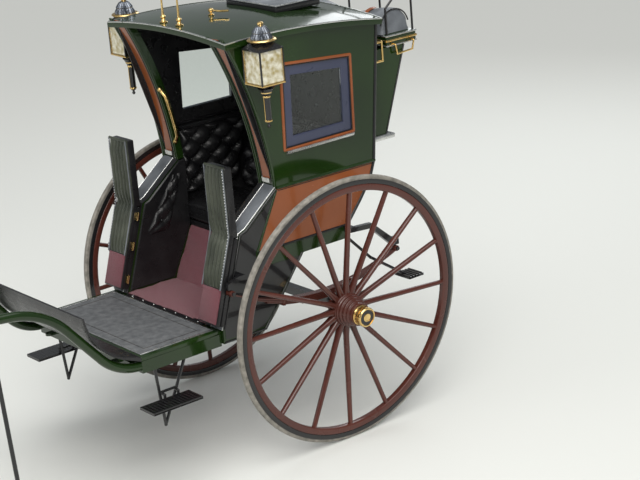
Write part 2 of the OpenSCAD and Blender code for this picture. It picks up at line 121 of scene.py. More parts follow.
sun_data = bpy.data.lights.new("window_light", "SUN")
sun_data.energy = 1.9
sun_data.angle = 0.9
sun_data.color = (1, 0.98, 0.95)
sun = bpy.data.objects.new("window_light", sun_data)
bpy.context.collection.objects.link(sun)
sun.rotation_mode = "QUATERNION"
sun.rotation_quaternion = Vector((-0.45, -0.75, -1.5)).to_track_quat("-Z", "Y")

sky = bpy.data.worlds.new("studio")
bpy.context.scene.world = sky
sky.use_nodes = True
sky.node_tree.nodes["Background"].inputs["Color"].default_value = (0.86, 0.9, 0.93, 1)
sky.node_tree.nodes["Background"].inputs["Strength"].default_value = 0.30
bpy.context.scene.view_settings.view_transform = "Standard"

# ---------------------------------------------------------------------------
# Finishes. Each is laid on as the real one is: a ground colour that is never
# quite even, a grain or ripple in the surface, and the gloss on top.
# ---------------------------------------------------------------------------


def new_finish(name):
    finish = bpy.data.materials.new(name)
    finish.use_nodes = True
    nodes = finish.node_tree.nodes
    shader = nodes["Principled BSDF"]
    place = nodes.new("ShaderNodeTexCoord")
    return finish, nodes, finish.node_tree.links, shader, place.outputs["Object"]


def uneven_colour(nodes, links, coords, dark, light, scale, detail=4):
    noise = nodes.new("ShaderNodeTexNoise")
    noise.inputs["Scale"].default_value = scale
    noise.inputs["Detail"].default_value = detail
    links.new(coords, noise.inputs["Vector"])
    ramp = nodes.new("ShaderNodeValToRGB")
    ramp.color_ramp.elements[0].position = 0.3
    ramp.color_ramp.elements[1].position = 0.7
    ramp.color_ramp.elements[0].color = (*dark, 1)
    ramp.color_ramp.elements[1].color = (*light, 1)
    links.new(noise.outputs["Fac"], ramp.inputs["Fac"])
    return ramp.outputs["Color"]


def uneven_value(nodes, links, coords, low, high, scale, detail=3):
    noise = nodes.new("ShaderNodeTexNoise")
    noise.inputs["Scale"].default_value = scale
    noise.inputs["Detail"].default_value = detail
    links.new(coords, noise.inputs["Vector"])
    spread = nodes.new("ShaderNodeMapRange")
    spread.inputs["From Min"].default_value = 0.3
    spread.inputs["From Max"].default_value = 0.7
    spread.inputs["To Min"].default_value = low
    spread.inputs["To Max"].default_value = high
    links.new(noise.outputs["Fac"], spread.inputs["Value"])
    return spread.outputs["Result"]


def raise_surface(nodes, links, height, shader, strength, distance):
    bump = nodes.new("ShaderNodeBump")
    bump.inputs["Strength"].default_value = strength
    bump.inputs["Distance"].default_value = distance
    links.new(height, bump.inputs["Height"])
    links.new(bump.outputs["Normal"], shader.inputs["Normal"])


def coach_enamel(name, dark, light, roughness=0.1, coat=1.0):
    finish, nodes, links, shader, coords = new_finish(name)
    links.new(uneven_colour(nodes, links, coords, dark, light, 2.5), shader.inputs["Base Color"])
    links.new(uneven_value(nodes, links, coords, roughness, roughness * 2.2, 9), shader.inputs["Roughness"])
    shader.inputs["Coat Weight"].default_value = coat
    shader.inputs["Specular IOR Level"].default_value = 0.32
    shader.inputs["Coat Roughness"].default_value = 0.03
    ripple = nodes.new("ShaderNodeTexNoise")
    ripple.inputs["Scale"].default_value = 60
    links.new(coords, ripple.inputs["Vector"])
    raise_surface(nodes, links, ripple.outputs["Fac"], shader, 0.04, 0.001)
    return finish


coach_green = coach_enamel("coach_green", (0.006, 0.018, 0.003), (0.012, 0.033, 0.005), 0.08, 0.35)
sienna = coach_enamel("burnt_sienna", (0.20, 0.055, 0.016), (0.28, 0.082, 0.026), 0.13, 0.2)
maroon = coach_enamel("maroon", (0.060, 0.016, 0.011), (0.092, 0.025, 0.017), 0.14, 0.3)
black_enamel = coach_enamel("black_enamel", (0.008, 0.008, 0.009), (0.014, 0.014, 0.015), 0.13, 0.4)
window_blue = coach_enamel("window_blue", (0.03, 0.036, 0.07), (0.045, 0.052, 0.095), 0.25, 0.5)


def polished(name, dark, light, roughness):
    finish, nodes, links, shader, coords = new_finish(name)
    links.new(uneven_colour(nodes, links, coords, dark, light, 14), shader.inputs["Base Color"])
    links.new(uneven_value(nodes, links, coords, roughness, roughness * 2, 35), shader.inputs["Roughness"])
    shader.inputs["Metallic"].default_value = 1.0
    return finish


brass = polished("brass", (0.62, 0.40, 0.14), (0.86, 0.63, 0.27), 0.14)
bright_trim = polished("bright_trim", (0.55, 0.56, 0.55), (0.78, 0.78, 0.76), 0.2)


def hide(name, dark, light, roughness, grain=420, depth=0.25):
    finish, nodes, links, shader, coords = new_finish(name)
    links.new(uneven_colour(nodes, links, coords, dark, light, 7), shader.inputs["Base Color"])
    links.new(uneven_value(nodes, links, coords, roughness, roughness * 1.5, 20), shader.inputs["Roughness"])
    pores = nodes.new("ShaderNodeTexVoronoi")
    pores.inputs["Scale"].default_value = grain
    links.new(coords, pores.inputs["Vector"])
    shader.inputs["Specular IOR Level"].default_value = 0.4
    raise_surface(nodes, links, pores.outputs["Distance"], shader, depth, 0.0015)
    return finish


black_leather = hide("black_leather", (0.007, 0.007, 0.008), (0.019, 0.019, 0.020), 0.24, 420, 0.18)
grey_leather = hide("grey_leather", (0.07, 0.078, 0.088), (0.19, 0.205, 0.225), 0.4)
pad_leather = hide("pad_leather", (0.022, 0.027, 0.018), (0.064, 0.072, 0.052), 0.25)


def pile(name, dark, light):
    finish, nodes, links, shader, coords = new_finish(name)
    links.new(uneven_colour(nodes, links, coords, dark, light, 160, 6), shader.inputs["Base Color"])
    shader.inputs["Roughness"].default_value = 0.95
    shader.inputs["Sheen Weight"].default_value = 0.2
    tufts = nodes.new("ShaderNodeTexVoronoi")
    tufts.inputs["Scale"].default_value = 380
    links.new(coords, tufts.inputs["Vector"])
    raise_surface(nodes, links, tufts.outputs["Distance"], shader, 0.7, 0.004)
    return finish


carpet = pile("carpet", (0.09, 0.014, 0.022), (0.19, 0.042, 0.060))


def matting(name, dark, light):
    finish, nodes, links, shader, coords = new_finish(name)
    links.new(uneven_colour(nodes, links, coords, dark, light, 30, 6), shader.inputs["Base Color"])
    links.new(uneven_value(nodes, links, coords, 0.55, 0.8, 40), shader.inputs["Roughness"])
    grit = nodes.new("ShaderNodeTexNoise")
    grit.inputs["Scale"].default_value = 500
    links.new(coords, grit.inputs["Vector"])
    raise_surface(nodes, links, grit.outputs["Fac"], shader, 0.3, 0.002)
    return finish


deck_mat = matting("deck_mat", (0.07, 0.075, 0.08), (0.13, 0.135, 0.14))
tyre_rubber = matting("tyre_rubber", (0.13, 0.122, 0.105), (0.29, 0.27, 0.235))
dark_rubber = matting("dark_rubber", (0.03, 0.03, 0.03), (0.06, 0.058, 0.055))

glass, glass_nodes, glass_links, glass_shader, glass_coords = new_finish("clear_glass")
glass_shader.inputs["Base Color"].default_value = (0.86, 0.92, 0.9, 1)
glass_shader.inputs["Transmission Weight"].default_value = 1.0
glass_shader.inputs["Roughness"].default_value = 0.02
glass_shader.inputs["IOR"].default_value = 1.45

node_finishes = {
    "footboard": deck_mat, "dash": black_leather, "shaft": coach_green, "splinter_bar": coach_green,
    "foot_well": carpet, "sills": coach_green, "seat_base": black_enamel, "wing": coach_green,
    "quarter_panel": sienna, "side_panel": coach_green, "front_pillar": coach_green, "rear_wall": coach_green,
    "roof": coach_green, "window_frames": window_blue, "window_glass": glass, "roof_hatch": grey_leather,
    "seat_cushion": black_leather, "back_cushion": black_leather, "side_cushions": black_leather,
    "lamps": black_enamel, "rein_guide": brass, "driver_seat_box": coach_green,
    "driver_cushion": grey_leather,
    "driver_rail": black_enamel, "driver_well": coach_green, "driver_footboard": deck_mat,
    "grab_handles": brass, "rear_steps": black_enamel, "springs": maroon, "spring_irons": black_enamel,
    "axle": black_enamel, "front_steps": black_enamel, "tyre": tyre_rubber, "felloe": maroon,
    "spokes": maroon, "nave": maroon, "hub_cap": brass, "door_outer": pad_leather,
    "knee_roll": pad_leather, "door_inner": coach_green,
    "prop_leg": black_enamel,
}
for node_name, node_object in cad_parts.items():
    plain_name = node_name.replace("_left", "").replace("_right", "")
    node_object.data.materials.clear()
    node_object.data.materials.append(node_finishes[plain_name])


# ---------------------------------------------------------------------------
# Wheels. Each has a solid rubber tyre held in a steel channel, a bent ash rim,
# tapered spokes driven into an elm nave, and a brass cap screwed on the end.
# ---------------------------------------------------------------------------
wheel_radius = hub_height / math.cos(math.radians(3.6))
wheel_camber = math.radians(3.6)
wheel_width = 0.038


def wheel_frame(side):
    """Places what is turned about z, with z pointing outboard, on a wheel's arm."""
    lean = Matrix.Rotation(side * (-math.pi / 2 - wheel_camber), 4, "X")
    return Matrix.Translation(at(0, side * 0.7, hub_height)) @ lean


def turned(name, profile, segments=96):
    """Spins a closed outline of (radius, height) once round the z axis, as on a lathe."""
    deselect()
    mesh = bpy.data.meshes.new(name)
    count = len(profile)
    mesh.from_pydata([(r, 0, z) for r, z in profile], [(i, (i + 1) % count) for i in range(count)], [])
    piece = bpy.data.objects.new(name, mesh)
    bpy.context.collection.objects.link(piece)
    pick(piece)
    bpy.ops.object.mode_set(mode="EDIT")
    bpy.ops.mesh.select_all(action="SELECT")
    bpy.ops.mesh.spin(steps=segments, angle=2 * math.pi, center=(0, 0, 0), axis=(0, 0, 1))
    bpy.ops.mesh.select_all(action="SELECT")
    bpy.ops.mesh.remove_doubles(threshold=0.00001)
    bpy.ops.mesh.normals_make_consistent(inside=False)
    bpy.ops.object.mode_set(mode="OBJECT")
    return piece


def settle(piece, finish, body, place=None, crease=35):
    """Puts a finished piece where it belongs, with its place in its mesh, and hands it to its body."""
    pick(piece)
    if place is not None:
        piece.matrix_world = place @ piece.matrix_world
        bpy.context.view_layer.update()
    bpy.ops.object.transform_apply(location=True, rotation=True, scale=True)
    piece.data.materials.clear()
    piece.data.materials.append(finish)
    bpy.ops.object.shade_smooth_by_angle(angle=math.radians(crease))
    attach(piece, body)
    return piece


def face_outward(piece):
    pick(piece)
    bpy.ops.object.mode_set(mode="EDIT")
    bpy.ops.mesh.select_all(action="SELECT")
    bpy.ops.mesh.normals_make_consistent(inside=False)
    bpy.ops.object.mode_set(mode="OBJECT")


def joined(name, pieces):
    pick(pieces[0])
    for piece in pieces[1:]:
        piece.select_set(True)
    if len(pieces) > 1:
        bpy.ops.object.join()
    whole = bpy.context.object
    whole.name = name
    return whole


def rounded_outline(points, radius, steps=4):
    """Rounds every corner of a closed outline with an arc."""
    out = []
    count = len(points)
    for i, corner in enumerate(points):
        corner = Vector(corner)
        before = Vector(points[i - 1]) - corner
        after = Vector(points[(i + 1) % count]) - corner
        reach = min(radius, before.length * 0.45, after.length * 0.45)
        start = corner + before.normalized() * reach
        end = corner + after.normalized() * reach
        for k in range(steps + 1):
            t = k / steps
            out.append(tuple((1 - t) ** 2 * start + 2 * t * (1 - t) * corner + t ** 2 * end))
    return out


def one_spoke(length, foot):
    """A spoke lying along x: square-shouldered at the nave, oval and slimmer towards the rim."""
    deselect()
    bpy.ops.mesh.primitive_cylinder_add(vertices=16, radius=1, depth=1, end_fill_type="NGON",
                                        location=(0.5, 0, 0), rotation=(0, math.pi / 2, 0))
    spoke = bpy.context.object
    bpy.ops.object.transform_apply(location=True, rotation=True, scale=True)
    bpy.ops.object.mode_set(mode="EDIT")
    bpy.ops.mesh.select_all(action="DESELECT")
    shape = bmesh.from_edit_mesh(spoke.data)
    for edge in shape.edges:
        edge.select = abs(edge.verts[0].co.x - edge.verts[1].co.x) > 0.5
    bmesh.update_edit_mesh(spoke.data)
    bpy.ops.mesh.subdivide(number_cuts=15)
    bpy.ops.object.mode_set(mode="OBJECT")
    for vertex in spoke.data.vertices:
        along = vertex.co.x
        shoulder = max(0.0, 1 - along / 0.12)
        taper = 1 - 0.22 * along
        angle = math.atan2(vertex.co.z, vertex.co.y)
        squared = 1 + 0.16 * shoulder * abs(math.sin(2 * angle))
        swell = squared * (taper + 0.16 * shoulder)
        vertex.co.y *= foot[0] * swell
        vertex.co.z *= foot[1] * swell
        vertex.co.x = along * length
    return spoke


nave_radius = 0.088
rim_inner = wheel_radius - 0.042 - 0.037
spoke_dish = 0.034
for side, name in ((1, "left"), (-1, "right")):
    body = "wheel_" + name
    place = wheel_frame(side)
    half = wheel_width / 2
    slope = math.tan(wheel_camber)
    channel_top = wheel_radius - 0.020
    tyre = turned("rubber_tyre_" + name, rounded_outline([
        (channel_top - 0.012, -half + 0.004), (wheel_radius - 0.006 + half * slope, -half + 0.004),
        (wheel_radius + (half - 0.010) * slope, -half + 0.011),
        (wheel_radius - (half - 0.010) * slope, half - 0.011),
        (wheel_radius - 0.006 - half * slope, half - 0.004), (channel_top - 0.012, half - 0.004)], 0.006),
        160)
    settle(tyre, tyre_rubber, body, place)
    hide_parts("tyre_" + name)
    channel = turned("tyre_channel_" + name, rounded_outline([
        (wheel_radius - 0.0425, -half + 0.001), (channel_top, -half + 0.0005),
        (channel_top + 0.001, -half + 0.004),
        (channel_top - 0.012, -half + 0.0045), (channel_top - 0.012, half - 0.0045),
        (channel_top + 0.001, half - 0.004), (channel_top, half - 0.0005),
        (wheel_radius - 0.0425, half - 0.001)],
        0.0008, 2), 160)
    settle(channel, black_enamel, body, place)
    rim = turned("ash_rim_" + name, rounded_outline([
        (rim_inner, -half + 0.004), (rim_inner + 0.010, -half), (wheel_radius - 0.0428, -half),
        (wheel_radius - 0.0428, half), (rim_inner + 0.010, half), (rim_inner, half - 0.004)], 0.007), 160)
    settle(rim, maroon, body, place)
    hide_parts("felloe_" + name)
    spokes = []
    reach = math.hypot(rim_inner + 0.006 - nave_radius + 0.006, spoke_dish)
    tilt = math.atan2(spoke_dish, rim_inner - nave_radius)
    for number in range(16):
        spoke = one_spoke(reach, (0.0150, 0.0185))
        spoke.matrix_world = (Matrix.Rotation(math.pi / 2 - 0.037 + number * math.pi / 8, 4, "Z")
                              @ Matrix.Translation((nave_radius - 0.006, 0, -spoke_dish))
                              @ Matrix.Rotation(-tilt, 4, "Y"))
        spokes.append(spoke)
    bpy.context.view_layer.update()
    spoke_set = joined("spoke_set_" + name, spokes)
    settle(spoke_set, maroon, body, place, 50)
    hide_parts("spokes_" + name)
    nave = turned("elm_nave_" + name, rounded_outline([
        (0.0255, -0.105), (0.060, -0.105), (0.062, -0.094), (0.068, -0.092), (0.070, -0.078), (0.078, -0.072),
        (0.082, -0.064), (0.088, -0.062), (0.088, -0.012), (0.085, -0.008), (0.085, 0.000), (0.080, 0.004),
        (0.080, 0.012), (0.082, 0.016), (0.080, 0.020), (0.074, 0.023), (0.073, 0.032), (0.076, 0.036),
        (0.074, 0.041), (0.067, 0.044), (0.066, 0.052), (0.069, 0.056), (0.067, 0.061), (0.061, 0.064),
        (0.060, 0.086), (0.0255, 0.086)], 0.0022, 3), 96)
    settle(nave, maroon, body, place)
    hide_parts("nave_" + name)
    cap = turned("brass_cap_" + name, [
        (0.0, 0.092), (0.046, 0.092), (0.046, 0.086), (0.052, 0.087), (0.053, 0.092), (0.048, 0.096),
        (0.048, 0.120), (0.051, 0.124), (0.052, 0.129), (0.051, 0.136), (0.048, 0.140), (0.043, 0.140),
        (0.041, 0.135), (0.0, 0.135)], 96)
    settle(cap, brass, body, place)
    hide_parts("hub_cap_" + name)
    flutes = []
    for number in range(28):
        deselect()
        bpy.ops.mesh.primitive_cylinder_add(vertices=10, radius=0.0036, depth=0.022)
        flute = bpy.context.object
        angle = number * math.tau / 28
        flute.location = (0.048 * math.cos(angle), 0.048 * math.sin(angle), 0.108)
        flutes.append(flute)
    grip = settle(joined("cap_flutes_" + name, flutes), brass, body, place)
    face = turned("cap_face_" + name, [(0.0, 0.134), (0.040, 0.134), (0.040, 0.1368), (0.0, 0.1368)], 64)
    settle(face, black_enamel, body, place)
    badge = turned("cap_badge_" + name, [(0.0, 0.1365), (0.022, 0.1365), (0.022, 0.1385), (0.019, 0.1400),
                                         (0.016, 0.1385), (0.0, 0.1395)], 48)
    settle(badge, brass, body, place)

# ---------------------------------------------------------------------------
# Body mouldings. Ash beads, painted and lined, cover the joins of the panels:
# round the windows, up the front pillars and along the belt and the sills.
# ---------------------------------------------------------------------------


def closed_up(name, shape):
    """Turns a finished shape into a piece, its faces looking outwards."""
    bmesh.ops.recalc_face_normals(shape, faces=shape.faces)
    mesh = bpy.data.meshes.new(name)
    shape.to_mesh(mesh)
    shape.free()
    piece = bpy.data.objects.new(name, mesh)
    bpy.context.collection.objects.link(piece)
    return piece


def turned_in(shape):
    """Folds the free edge of a sheet back on itself and gives the new edge's points, to be moved."""
    made = bmesh.ops.extrude_edge_only(shape, edges=[e for e in shape.edges if e.is_boundary])
    return [v for v in made["geom"] if isinstance(v, bmesh.types.BMVert)]


def swept(name, line, section, closed=False):
    """A bead: a small section of (out, across) offsets carried along a line with its own side direction."""
    deselect()
    rings = []
    count = len(line)
    shape = bmesh.new()
    for i, (point, out) in enumerate(line):
        before = line[i - 1][0] if i > 0 or closed else point
        after = line[(i + 1) % count][0] if i < count - 1 or closed else point
        before_way = (point - before).normalized() if (point - before).length > 1e-6 else (after - point).normalized()
        after_way = (after - point).normalized() if (after - point).length > 1e-6 else before_way
        way = (before_way + after_way).normalized()
        across = out.cross(way).normalized()
        stretch = 1 / max(0.5, way.dot(after_way))
        rings.append([shape.verts.new(point + out * o + across * a * stretch) for o, a in section])
    pairs = list(zip(rings, rings[1:] + rings[:1])) if closed else list(zip(rings, rings[1:]))
    size = len(section)
    for ring, following in pairs:
        for k in range(size):
            shape.faces.new((ring[k], ring[(k + 1) % size], following[(k + 1) % size], following[k]))
    if not closed:
        shape.faces.new(rings[0])
        shape.faces.new(list(reversed(rings[-1])))
    return closed_up(name, shape)


def bead(width, height, sunk=0.001):
    """The outline of a half-round moulding, wider than it is high and let a little into the panel."""
    points = [(-sunk, width / 2), (-sunk, -width / 2)]
    for k in range(7):
        angle = math.pi * (k / 6) - math.pi / 2
        points.append((height * math.cos(angle), width / 2 * math.sin(angle)))
    return points


def facing_line(points, y):
    """A row of (x, z) places at one y, each with its own forward side."""
    line = []
    for k, (x, z) in enumerate(points):
        before, after = points[max(0, k - 1)], points[min(len(points) - 1, k + 1)]
        line.append((at(x, y, z), Vector((after[1] - before[1], 0, -(after[0] - before[0]))).normalized()))
    return line


def side_line(points, y, side):
    out = Vector((0, side, 0))
    return [(at(x, side * y, z), out) for x, z in points]


def corners_rounded(points, radius=0.02):
    return rounded_outline(points, radius, 5)


def inset(points, amount):
    """Moves each side of a closed outline inwards by the same amount."""
    count = len(points)
    centre = sum((Vector(p) for p in points), Vector((0, 0))) / count
    out = []
    for i in range(count):
        a, b, c = Vector(points[i - 1]), Vector(points[i]), Vector(points[(i + 1) % count])
        n1 = Vector((-(b - a).y, (b - a).x)).normalized()
        n2 = Vector((-(c - b).y, (c - b).x)).normalized()
        if n1.dot(centre - b) < 0:
            n1 = -n1
        if n2.dot(centre - b) < 0:
            n2 = -n2
        out.append(tuple(b + (n1 + n2) * amount / (1 + n1.dot(n2))))
    return out


window = [(0.150, 1.990), (-0.277, 1.955), (-0.266, 1.572), (0.167, 1.570)]
panel_y = 0.5
for side, name in ((1, "left"), (-1, "right")):
    outer = swept("window_bead_" + name,
            side_line(corners_rounded(inset(window, -0.008), 0.004), panel_y, side),
                  bead(0.016, 0.008), closed=True)
    settle(outer, sienna, "cab")
    inner = swept("window_rebate_" + name,
            side_line(corners_rounded(inset(window, 0.003), 0.004), panel_y, side),
                  bead(0.007, 0.0045), closed=True)
    settle(inner, black_enamel, "cab")
    sash = swept("glass_bead_" + name,
            side_line(corners_rounded(inset(window, 0.050), 0.004), panel_y - 0.009, side),
                 bead(0.008, 0.006), closed=True)
    settle(sash, window_blue, "cab")
    ledge = swept("window_sill_" + name, side_line([(-0.262, 1.553), (0.172, 1.551)], panel_y, side),
                  [(-0.001, -0.007), (0.020, -0.009), (0.022, -0.005), (0.014, 0.007), (-0.001, 0.008)])
    settle(ledge, bright_trim, "cab")
    belt = swept("belt_bead_" + name, side_line([(-0.398, 1.380), (0.247, 1.384)], panel_y, side),
            bead(0.018, 0.008))
    settle(belt, coach_green, "cab")
    lining = swept("belt_lining_" + name, side_line([(-0.396, 1.366), (0.238, 1.369)], panel_y, side),
                   bead(0.004, 0.0015))
    settle(lining, black_enamel, "cab")
    sill_bead = swept("sill_bead_" + name, side_line([(-0.2, 1.083), (0.395, 1.083)], panel_y, side),
                      bead(0.012, 0.007))
    settle(sill_bead, black_enamel, "cab")
    rear_bead = swept("rear_corner_bead_" + name, side_line([
        (-0.196, 1.094), (-0.280, 1.190), (-0.358, 1.290), (-0.392, 1.380), (-0.472, 2.110)], panel_y, side),
        bead(0.018, 0.007))
    settle(rear_bead, black_enamel, "cab")

# ---------------------------------------------------------------------------
# Front pillars. The pillar is ash, steam bent. Its green face is lined in black
# each side of a burnt sienna strip, which ends in a small bright cap.
# ---------------------------------------------------------------------------

pillar_low = Vector((0.249, 0, 1.390))
pillar_high = Vector((0.490, 0, 2.190))
middle = (pillar_low + pillar_high) / 2
chord = pillar_high - pillar_low
pillar_centre = None
for way in (1, -1):
    square_off = Vector((chord.z, 0, -chord.x)).normalized() * way
    candidate = middle + square_off * math.sqrt(2.030 ** 2 - (chord.length / 2) ** 2)
    if candidate.x > middle.x:
        pillar_centre = candidate
angle_low = math.atan2(pillar_low.z - pillar_centre.z, pillar_low.x - pillar_centre.x)
angle_high = math.atan2(pillar_high.z - pillar_centre.z, pillar_high.x - pillar_centre.x)
if angle_low < 0:
    angle_low += math.tau
if angle_high < 0:
    angle_high += math.tau


def on_pillar(y, share_low, share_high, steps=26):
    """Points up the front face of a pillar, facing forward."""
    line = []
    for k in range(steps + 1):
        share = share_low + (share_high - share_low) * k / steps
        angle = angle_low + (angle_high - angle_low) * share
        way = Vector((math.cos(angle), 0, math.sin(angle)))
        point = pillar_centre + way * 2.030
        line.append((at(point.x, y, point.z), -way))
    return line


for side, name in ((1, "left"), (-1, "right")):
    strip = swept("pillar_strip_" + name, on_pillar(side * 0.432, 0.045, 0.985),
                  [(-0.001, 0.030), (-0.001, -0.030), (0.0012, -0.030), (0.0018, 0), (0.0012, 0.030)])
    settle(strip, sienna, "cab")
    for offset in (-0.034, 0.034):
        line = swept("pillar_lining_" + name, on_pillar(side * 0.432 + offset, 0.04, 0.99),
                bead(0.006, 0.004))
        settle(line, black_enamel, "cab")
    for offset in (-0.060, 0.060):
        rail = swept("pillar_border_" + name, on_pillar(side * 0.432 + offset, 0.0, 0.995),
                bead(0.024, 0.010))
        settle(rail, coach_green, "cab")
    foot = swept("pillar_cap_" + name, on_pillar(side * 0.432, 0.022, 0.050, 3),
                 [(-0.001, 0.033), (-0.001, -0.033), (0.009, -0.031), (0.011, 0), (0.009, 0.031)])
    settle(foot, bright_trim, "cab")

# ---------------------------------------------------------------------------
# Doors. Each outer leaf is a board with a fluted leather pad up its front that
# rolls over a tall knee guard; a nailed welt closes the pad along the outer edge.
# ---------------------------------------------------------------------------
door_lean = math.radians(17.5)
hinge_x = 0.652 + 0.025 * math.cos(door_lean)
hinge_z = 0.740 + 0.025 * math.sin(door_lean)


def in_door(side, x, y, z):
    """A place on a door: x outboard from the hinge pin, y forward off the leaf, z up the pin."""
    along = y * math.cos(door_lean) - z * math.sin(door_lean)
    up = y * math.sin(door_lean) + z * math.cos(door_lean)
    return at(hinge_x + along, side * (0.345 + x), hinge_z + up)


def door_path(low, knee=0.478, top=0.350, steps=(9, 12)):
    """Up the front of the leaf and then straight up the guard: (y, z, forward y, forward z) in the leaf."""
    lean_y, lean_z = math.sin(door_lean), math.cos(door_lean)
    points = []
    for k in range(steps[0]):
        points.append((0.032, low + (knee - low) * k / steps[0], 1.0, 0.0))
    for k in range(steps[1] + 1):
        along = top * k / steps[1]
        blend_in = min(1.0, k / 2)
        points.append((0.032 + lean_y * along, knee + lean_z * along,
                       1.0 - blend_in * (1 - lean_z), -lean_y * blend_in))
    return points


def fluted_pad(name, side, low, across, flutes, depth):
    """A leather facing sewn in upright flutes, pulled down at each seam and rolled at its edges."""
    deselect()
    shape = bmesh.new()
    columns = flutes * 8
    path = door_path(low)
    rows = []
    for r, (y, z, out_y, out_z) in enumerate(path):
        end = min(r, len(path) - 1 - r)
        swell = min(1.0, 0.25 + end * 0.45)
        row = []
        for c in range(columns + 1):
            share = c / columns
            flute = abs(math.sin(math.pi * share * flutes))
            edge = min(1.0, min(share, 1 - share) * 14)
            pinch = 0.35 if r == 9 else 0.8 if r in (8, 10) else 1.0
            puff = pinch * depth * (0.25 + 0.75 * flute ** 0.65) * swell * (0.3 + 0.7 * edge)
            wander = 0.0012 * math.sin(r * 1.7 + c * 0.9)
            x = across[0] + (across[1] - across[0]) * share + wander * (1 - edge * 0.5)
            row.append(shape.verts.new(in_door(side, x, y + out_y * (puff + wander),
                    z + out_z * (puff + wander))))
        rows.append(row)
    for low_row, high_row in zip(rows, rows[1:]):
        for c in range(columns):
            shape.faces.new((low_row[c], low_row[c + 1], high_row[c + 1], high_row[c]))
    made = turned_in(shape)
    for vertex in made:
        vertex.co.x -= 0.006
    return closed_up(name, shape)


def box_between(name, corners, bevel=0.002, segments=2):
    """A board from its eight corners, its edges eased with a plane."""
    mesh = bpy.data.meshes.new(name)
    mesh.from_pydata([tuple(c) for c in corners], [], [(0, 3, 2, 1), (4, 5, 6, 7), (0, 1, 5, 4), (1, 2, 6, 5),
                                                       (2, 3, 7, 6), (3, 0, 4, 7)])
    piece = bpy.data.objects.new(name, mesh)
    bpy.context.collection.objects.link(piece)
    pick(piece)
    bpy.ops.object.mode_set(mode="EDIT")
    bpy.ops.mesh.select_all(action="SELECT")
    bpy.ops.mesh.normals_make_consistent(inside=False)
    bpy.ops.mesh.bevel(offset=bevel, segments=segments, affect="EDGES")
    bpy.ops.object.mode_set(mode="OBJECT")
    return piece


def door_board(name, side, x0, x1, y0, y1, z0, z1, bevel=0.002):
    low = [in_door(side, x, y, z0) for x, y in ((x0, y0), (x1, y0), (x1, y1), (x0, y1))]
    high = [in_door(side, x, y, z1) for x, y in ((x0, y0), (x1, y0), (x1, y1), (x0, y1))]
    return box_between(name, low + high, bevel)


def tube(name, points, radius, closed=False, segments=12):
    """A round bar or cord of leather bent through a row of places."""
    curve = bpy.data.curves.new(name, "CURVE")
    curve.dimensions = "3D"
    curve.bevel_depth = radius
    curve.bevel_resolution = max(1, segments // 4 - 1)
    curve.use_fill_caps = True
    line = curve.splines.new("POLY")
    line.points.add(len(points) - 1)
    for slot_point, place in zip(line.points, points):
        slot_point.co = (*place, 1)
    line.use_cyclic_u = closed
    piece = bpy.data.objects.new(name, curve)
    bpy.context.collection.objects.link(piece)
    pick(piece)
    bpy.ops.object.convert(target="MESH")
    return bpy.context.object


def studs(name, places, radius):
    """Domed nail heads set on a row of places."""
    heads = []
    for place in places:
        deselect()
        bpy.ops.mesh.primitive_uv_sphere_add(segments=10, ring_count=6, radius=radius, location=place)
        heads.append(bpy.context.object)
    return joined(name, heads)


roll_up = (math.sin(door_lean), math.cos(door_lean))
for side, name in ((1, "left"), (-1, "right")):
    body = "knee_door_" + name
    board = door_board("door_board_" + name, side, 0.009, 0.169, 0.010, 0.032, 0.022, 0.482)
    settle(board, black_leather, body)
    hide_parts("door_outer_" + name)
    front_y, front_z = 0.032, 0.478
    corners = []
    for x in (0.009, 0.169):
        for back, rise in ((0, -0.006), (0.045, -0.020), (0.045, 0.348), (0, 0.348)):
            y = front_y + roll_up[0] * rise - roll_up[1] * back
            z = front_z + roll_up[1] * rise + roll_up[0] * back
            corners.append(in_door(side, x, y, z))
    guard = box_between("knee_guard_" + name, corners, 0.007, 4)
    settle(guard, black_leather, body)
    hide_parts("knee_roll_" + name)
    kick = door_board("kick_panel_" + name, side, 0.014, 0.164, 0.031, 0.036, 0.030, 0.205, 0.001)
    settle(kick, carpet, body)
    pad = settle(fluted_pad("fluted_pad_" + name, side, 0.210, (0.010, 0.163), 5, 0.019), pad_leather,
            body, None, 60)
    path = door_path(0.205)
    for x, radius in ((0.1655, 0.0042), (0.0105, 0.0036)):
        welt = tube("welt_" + name,
                [in_door(side, x, y + oy * 0.009, z + oz * 0.009) for y, z, oy, oz in path],
                    radius)
        settle(welt, grey_leather, body)
    nails = []
    for first, second in zip(path[1:], path[2:]):
        for share in (0.0, 0.5):
            y = first[0] + (second[0] - first[0]) * share
            z = first[1] + (second[1] - first[1]) * share
            nails.append(in_door(side, 0.1655, y + first[2] * 0.0125, z + first[3] * 0.0125))
    row = settle(studs("welt_nails_" + name, nails, 0.0032), bright_trim, body)
    top = path[-1]
    band = tube("top_band_" + name,
            [in_door(side, x, top[0] + top[2] * 0.004 - roll_up[1] * 0.001, top[1] - 0.002)
                                     for x in (0.010, 0.168)], 0.007)
    settle(band, pad_leather, body)
    inner = door_board("inner_leaf_" + name, side, 0.016, 0.169, -0.018, 0.004, 0.022, 0.468)
    settle(inner, black_leather, body)
    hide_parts("door_inner_" + name)
    facing = door_board("inner_facing_" + name, side, 0.024, 0.161, -0.021, -0.017, 0.032, 0.458, 0.001)
    settle(facing, coach_green, body)
    for z0 in (0.060, 0.240, 0.400):
        pin = tube("hinge_pin_" + name,
                [in_door(side, 0, 0, z0 - 0.002), in_door(side, 0, 0, z0 + 0.042)], 0.005, False, 20)
        settle(pin, brass, body)
        flap = door_board("hinge_flap_" + name, side, -0.003, 0.030, 0.0, 0.0105, z0, z0 + 0.040, 0.001)
        settle(flap, brass, body)

